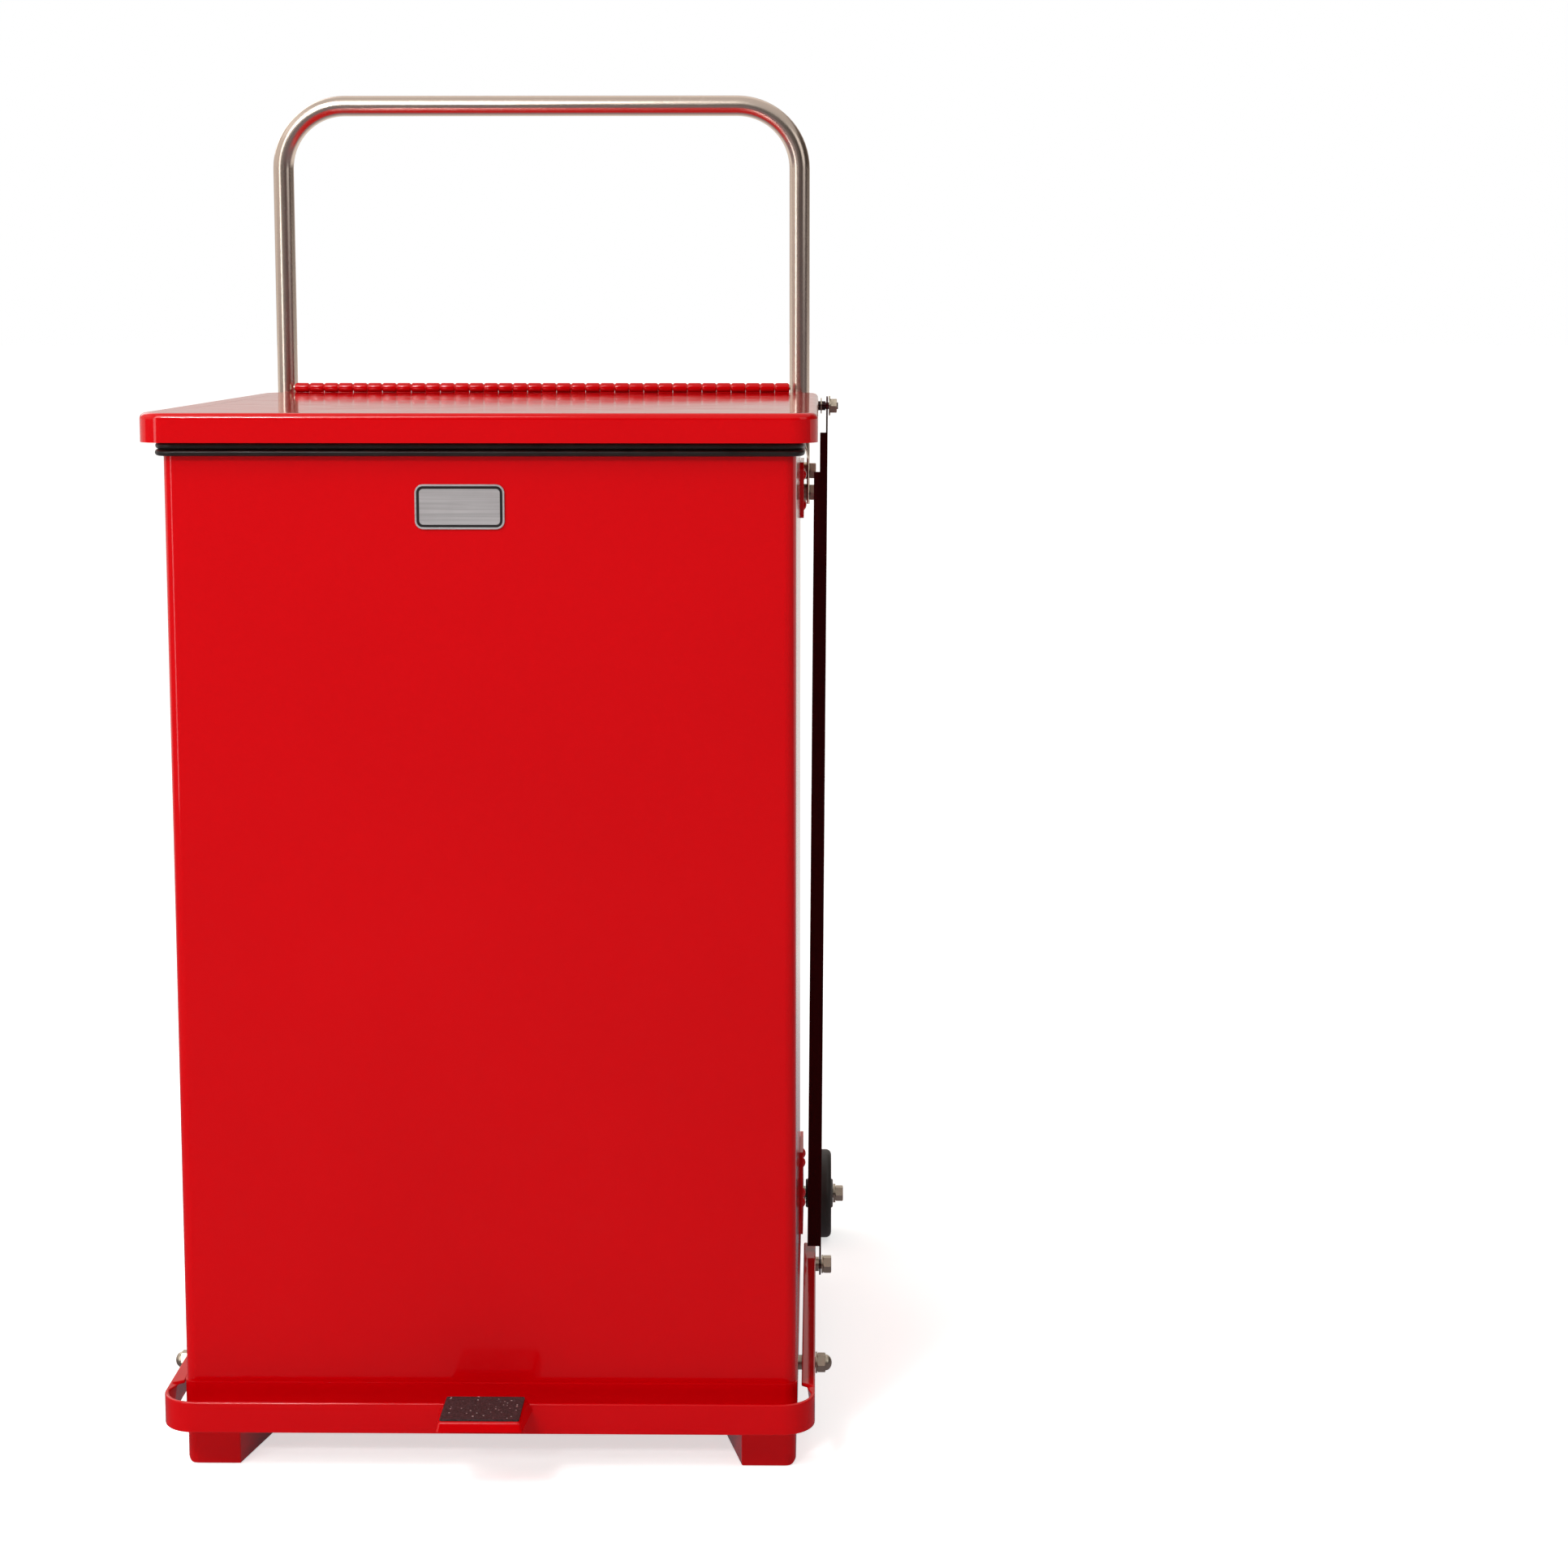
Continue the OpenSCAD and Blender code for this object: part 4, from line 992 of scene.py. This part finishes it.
class WASTECAN_OT_pedal(Piece, bpy.types.Operator):
    """Build the U-shaped pedal bar, the pressed tread and its grip pad"""

    bl_idname = "wastecan.pedal"
    bl_label = "Pedal"

    def execute(self, context):
        self.bar()
        self.tread()
        self.pad()
        return {"FINISHED"}

    def bar(self):
        low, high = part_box("pedal_frame")
        s = sizes()
        flange_y = low.y + 38 * MM
        flange = 10 * MM
        bar = block(low, high)
        with editing(bar):
            remove_faces(lambda f: abs(f.normal.z) > 0.9 or f.normal.y > 0.9)
            round_off(lambda e: upright(e) and at(e.verts[0].co.y, low.y), s.bar_corner, 12)
            pick_all()
            bpy.ops.mesh.bisect(plane_co=(0, flange_y, 0), plane_no=(0, 1, 0))
            for side in SIDES:
                pick("EDGE", lambda e: level(e, high.z) and all(
                    v.co.x * side > high.x - MM and v.co.y > flange_y - 0.1 * MM for v in e.verts))
                extrude((-side * flange, 0, 0))
            # the flange starts with a slanted cut
            pick("VERT", lambda v: abs(v.co.x) < high.x - flange / 2 and at(v.co.y, flange_y))
            bpy.ops.transform.translate(value=(0, 6 * MM, 0))
        thicken(bar, s.bar)
        break_edges(bar, 1.1 * MM, 3)
        stand_in(bar, "pedal_frame")

    def tread(self):
        low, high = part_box("pedal_tread")
        bar_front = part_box("pedal_frame")[0].y
        tread = block(low, (high.x, bar_front + 1 * MM, high.z))
        with editing(tread):
            remove_faces(lambda f: f.normal.z < -0.9 or f.normal.y > 0.9)
            # the skirt flares out from the pad, most of all where it meets the bar
            pick("VERT", lambda v: at(v.co.z, high.z))
            bpy.ops.transform.resize(value=(0.945, 1, 1))
            pick("VERT", lambda v: at(v.co.z, high.z) and v.co.y < low.y + MM)
            bpy.ops.transform.translate(value=(0, 1.6 * MM, 0))
            pick("VERT", lambda v: at(v.co.z, low.z) and v.co.y > bar_front - MM)
            bpy.ops.transform.resize(value=(1.1, 1, 1))
            bpy.ops.transform.translate(value=(0, 0, -1.5 * MM))
            round_off(lambda e: len(e.link_faces) == 2, 2.2 * MM, 5)
        thicken(tread, 1.6 * MM)
        back = block((low.x + 1.5 * MM, bar_front - 0.5 * MM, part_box("pedal_frame")[1].z - 0.1 * MM),
                     (high.x - 1.5 * MM, bar_front + sizes().bar, high.z))
        break_edges(back, 1.2 * MM, 3)
        stand_in(joined([tread, back]), "pedal_tread", angle=50)

    def pad(self):
        low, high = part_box("grip_pad")
        pad = block(low, high)
        with editing(pad):
            round_off(upright, 1.5 * MM, 3)
        # the gritty surface: coarse grains under finer ones, sunk a little into the pad
        size = high - low
        middle = (low + high) / 2
        border = 1.2 * MM
        sheet = primitive(
            "grid", (size.x - border, size.y - border, 1), x_subdivisions=80, y_subdivisions=60, size=1,
            location=(middle.x, middle.y, high.z))
        for v in sheet.data.vertices:
            v.co.z += 0.28 * MM * noise.noise(v.co * 900) + 0.12 * MM * noise.noise(v.co * 2100) - 0.05 * MM
        stand_in(joined([pad, sheet]), "grip_pad")


class WASTECAN_OT_lid(Piece, bpy.types.Operator):
    """Build the pressed lid: round corners and edge, a turned-in foot and a slight dish in its sheet"""

    bl_idname = "wastecan.lid"
    bl_label = "Lid"

    def execute(self, context):
        low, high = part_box("lid_shell")
        s = sizes()
        half = (high.x - low.x) / 2
        middle = (low + high) / 2
        lid = block(low, high)
        with editing(lid):
            remove_faces(lambda f: f.normal.z < -0.9)
            round_off(upright, s.lid_corner, 12)
            round_off(lambda e: level(e, high.z), s.lid_edge, 6)
            pick("EDGE", lambda e: level(e, low.z) and len(e.link_faces) == 1)
            turned_in = (half - s.lid_return) / half
            extrude((0, 0, 0), (turned_in, turned_in, 1), (middle.x, middle.y, low.z))
            pick("FACE", lambda f: f.normal.z > 0.9 and f.calc_area() > half * half)
            bpy.ops.mesh.inset(thickness=16 * MM)
        self.dish(lid, high.z, half, middle, s.lid_dish)
        thicken(lid, s.lid_sheet)
        stand_in(lid, "lid_shell")
        return {"FINISHED"}

    def dish(self, lid, top, half, middle, depth):
        """Lets the flat sheet sink a little between its stiff edges."""
        def inner(v):
            return max(abs(v.co.x - middle.x), abs(v.co.y - middle.y)) < half - 18 * MM

        with editing(lid):
            reach = half - 30 * MM
            for axis, normal in ((0, (1, 0, 0)), (1, (0, 1, 0))):
                for i in range(-10, 11):
                    point = list(middle)
                    point[axis] += reach * i / 10.5
                    pick("FACE", lambda f: f.normal.z > 0.9 and all(inner(v) for v in f.verts))
                    bpy.ops.mesh.bisect(plane_co=point, plane_no=normal)
        for v in lid.data.vertices:
            if at(v.co.z, top):
                x, y = (v.co.x - middle.x) / half, (v.co.y - middle.y) / half
                if max(abs(x), abs(y)) < 0.93:
                    v.co.z -= depth * math.cos(x * math.pi / 1.9) * math.cos(y * math.pi / 1.9)


class WASTECAN_OT_liner(Piece, bpy.types.Operator):
    """Build the moulded liner: a tapered tub with a stepped ledge and a turned-down collar"""

    bl_idname = "wastecan.liner"
    bl_label = "Liner"

    def execute(self, context):
        low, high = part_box("liner")
        middle = (low + high) / 2
        rim_half = (high.x - low.x) / 2
        top_half, foot_half = sizes().liner_top / 2, sizes().liner_foot / 2
        ledge_z = high.z - 7 * MM
        tub = block((-top_half, middle.y - top_half, low.z), (top_half, middle.y + top_half, ledge_z))
        with editing(tub):
            remove_faces(lambda f: f.normal.z > 0.9)
            pick("VERT", lambda v: at(v.co.z, low.z))
            taper = foot_half / top_half
            bpy.ops.transform.resize(value=(taper, taper, 1), center_override=(0, middle.y, low.z))
            round_off(lambda e: not at(e.verts[0].co.z, e.verts[1].co.z), 27 * MM, 8)
            round_off(lambda e: level(e, low.z), 7 * MM, 4)
            pick("EDGE", lambda e: level(e, ledge_z) and len(e.link_faces) == 1)
            half = top_half
            for move, new_half in (
                (0, top_half + 4 * MM), (high.z - ledge_z, top_half + 4.5 * MM), (0, rim_half - 0.4 * MM),
                (-16.5 * MM, rim_half),
            ):
                grow = new_half / half
                edge_z = ledge_z if move == 0 and half == top_half else high.z
                extrude((0, 0, move), (grow, grow, 1), (0, middle.y, edge_z))
                half = new_half
        thicken(tub, sizes().liner_wall)
        break_edges(tub, 1.0 * MM, 3, 40)
        stand_in(tub, "liner")
        return {"FINISHED"}


class WASTECAN_OT_small_parts(Piece, bpy.types.Operator):
    """Give every CAD piece that stays in view its finish"""

    bl_idname = "wastecan.small_parts"
    bl_label = "Small Parts"

    def execute(self, context):
        for name, node in frame["nodes"].items():
            if not node.hide_render:
                node.data.materials.clear()
                node.data.materials.append(finish_of(slot_of(name)))
        return {"FINISHED"}


# ---------------------------------------------------------------- studio


class WASTECAN_OT_studio(Piece, bpy.types.Operator):
    """Build the pale floor, the soft lights, the surroundings and the camera"""

    bl_idname = "wastecan.studio"
    bl_label = "Studio"

    def execute(self, context):
        scene = context.scene
        settings = scene.waste_can_studio
        self.floor()
        self.surroundings(scene)
        middle = (cad_bounds[0] + cad_bounds[1]) / 2
        self.softbox("Key", (-0.9, -1.7, 2.3), middle, 1.3, settings.key_power)
        self.softbox("Spark", (-0.65, -1.9, 2.0), middle, 0.3, settings.spark_power)
        self.softbox("Strip", (-1.7, -1.8, 1.1), middle, 0.42, settings.strip_power, 2.1)
        self.softbox("Fill", (2.6, -1.6, 1.8), middle, 1.6, settings.key_power * 0.25)
        self.softbox("Rim", (-1.8, 2.4, 2.2), middle, 1.6, settings.key_power * 0.5)
        self.sun(settings.sun)
        self.camera(scene, settings)
        scene.view_settings.view_transform = "Standard"
        return {"FINISHED"}

    def floor(self):
        floor = primitive("circle", vertices=128, radius=60, fill_type="NGON", location=(0, 0, -0.3 * MM))
        floor.name = "Floor"
        paper = Finish("Paper")
        place = paper.place()
        tone = paper.mix(paper.noise(place, 3.0, 2.0), (0.86, 0.86, 0.86, 1), (0.89, 0.89, 0.89, 1))
        floor.data.materials.append(paper.shade(
            Base_Color=tone, Roughness=0.9, Normal=paper.bump(paper.noise(place, 400.0), 0.05 * MM, 0.2)))
        # reflections see a floor that is dim in front of the object, as with black cards laid there
        back = paper.add("ShaderNodeSeparateXYZ", Vector=place).outputs["Y"]
        tint = paper.mix(paper.spread(back, 0.2, 1.4), (0.95, 0.80, 0.88, 1), (1.0, 0.96, 0.92, 1))
        glow = paper.spread(back, 0.2, 1.4, 0.2, 0.85)
        dim = paper.add("ShaderNodeEmission", Color=tint, Strength=glow).outputs[0]
        path = paper.add("ShaderNodeLightPath").outputs
        seen_glow = paper.spread(path["Is Camera Ray"], 0, 1, 0, 0.62)
        paper.shade(Emission_Color=(1, 1, 1, 1), Emission_Strength=seen_glow)
        seen = paper.add(
            "ShaderNodeMixShader", i0=path["Is Glossy Ray"], i1=paper.shader.outputs[0], i2=dim).outputs[0]
        paper.feed(paper.tree.nodes["Material Output"].inputs["Surface"], seen)

    def surroundings(self, scene):
        """A pale room that is darker in front of the object and at its sides than behind and above it."""
        world = bpy.data.worlds.new("Studio")
        scene.world = world
        world.use_nodes = True
        tree = world.node_tree
        tree.nodes.clear()
        work = Finish("Studio", tree)
        way = work.add("ShaderNodeTexCoord").outputs["Generated"]
        parts = work.add("ShaderNodeSeparateXYZ", Vector=way).outputs
        behind = work.spread(parts["Y"], -0.35, 0.75, 0.10, 0.8)
        behind = work.sum(behind, work.spread(parts["X"], 0.25, 0.75, 1.0, 0.3), "MULTIPLY")
        above = work.spread(parts["Z"], 0.1, 0.9, 0.0, 0.4)
        left = work.spread(parts["X"], -0.15, -0.9, 0.0, 0.85)
        light = work.sum(work.sum(behind, above, "MAXIMUM"), left, "MAXIMUM")
        warm = work.mix(light, (0.30, 0.22, 0.17, 1), (1.0, 0.93, 0.88, 1))
        lit = work.add("ShaderNodeBackground", Color=warm, Strength=work.sum(light, 0.95, "MULTIPLY"))
        seen = work.add("ShaderNodeBackground", Color=(1, 1, 1, 1), Strength=1.0)
        ray = work.add("ShaderNodeLightPath").outputs["Is Camera Ray"]
        both = work.add("ShaderNodeMixShader", i0=ray, i1=lit.outputs[0], i2=seen.outputs[0])
        out = work.add("ShaderNodeOutputWorld")
        tree.links.new(both.outputs[0], out.inputs["Surface"])

    def softbox(self, name, place, target, width, power, height=None):
        data = bpy.data.lights.new(name, "AREA")
        data.shape = "RECTANGLE"
        data.size = width
        data.size_y = height or width
        data.energy = power
        lamp = bpy.data.objects.new(name, data)
        bpy.context.collection.objects.link(lamp)
        lamp.location = place
        lamp.rotation_euler = (target - Vector(place)).to_track_quat("-Z", "Y").to_euler()

    def sun(self, strength):
        """A very soft sun, which keeps the floor pale as far as it is seen."""
        data = bpy.data.lights.new("Sun", "SUN")
        data.energy = strength
        data.angle = math.radians(120)
        lamp = bpy.data.objects.new("Sun", data)
        bpy.context.collection.objects.link(lamp)
        lamp.rotation_euler = Vector((0.06, 0.14, -1)).to_track_quat("-Z", "Y").to_euler()

    def camera(self, scene, settings):
        data = bpy.data.cameras.new("Camera")
        data.lens = settings.lens
        data.sensor_width = 36
        data.shift_y = settings.shift
        camera = bpy.data.objects.new("Camera", data)
        bpy.context.collection.objects.link(camera)
        camera.location = settings.camera_place
        camera.rotation_euler = (math.pi / 2 - settings.pitch, 0, settings.yaw)
        scene.camera = camera


# ---------------------------------------------------------------- panel and main

OPERATORS = (
    WASTECAN_OT_body_shell, WASTECAN_OT_sheet_parts, WASTECAN_OT_nameplate, WASTECAN_OT_hinge,
    WASTECAN_OT_handle, WASTECAN_OT_wheels, WASTECAN_OT_fasteners, WASTECAN_OT_pedal, WASTECAN_OT_lid,
    WASTECAN_OT_liner, WASTECAN_OT_small_parts, WASTECAN_OT_studio,
)


class WASTECAN_PT_panel(bpy.types.Panel):
    """Lists the building steps and the settings."""

    bl_label = "Waste Can"
    bl_idname = "WASTECAN_PT_panel"
    bl_space_type = "VIEW_3D"
    bl_region_type = "UI"
    bl_category = "Waste Can"

    def draw(self, context):
        layout = self.layout
        for operator in OPERATORS:
            layout.operator(operator.bl_idname)
        for group in ("waste_can_sizes", "waste_can_finishes", "waste_can_studio"):
            settings = getattr(context.scene, group)
            column = layout.column(align=True)
            for name in settings.bl_rna.properties.keys():
                if name not in ("rna_type", "name"):
                    column.prop(settings, name)


CLASSES = (WasteCanSizes, WasteCanFinishes, WasteCanStudio, *OPERATORS, WASTECAN_PT_panel)


def register():
    for cls in CLASSES:
        bpy.utils.register_class(cls)
    bpy.types.Scene.waste_can_sizes = bpy.props.PointerProperty(type=WasteCanSizes)
    bpy.types.Scene.waste_can_finishes = bpy.props.PointerProperty(type=WasteCanFinishes)
    bpy.types.Scene.waste_can_studio = bpy.props.PointerProperty(type=WasteCanStudio)


def unregister():
    del bpy.types.Scene.waste_can_studio
    del bpy.types.Scene.waste_can_finishes
    del bpy.types.Scene.waste_can_sizes
    for cls in reversed(CLASSES):
        bpy.utils.unregister_class(cls)


def main():
    register()
    for operator in OPERATORS:
        group, name = operator.bl_idname.split(".")
        getattr(getattr(bpy.ops, group), name)()


if __name__ == "__main__":
    main()
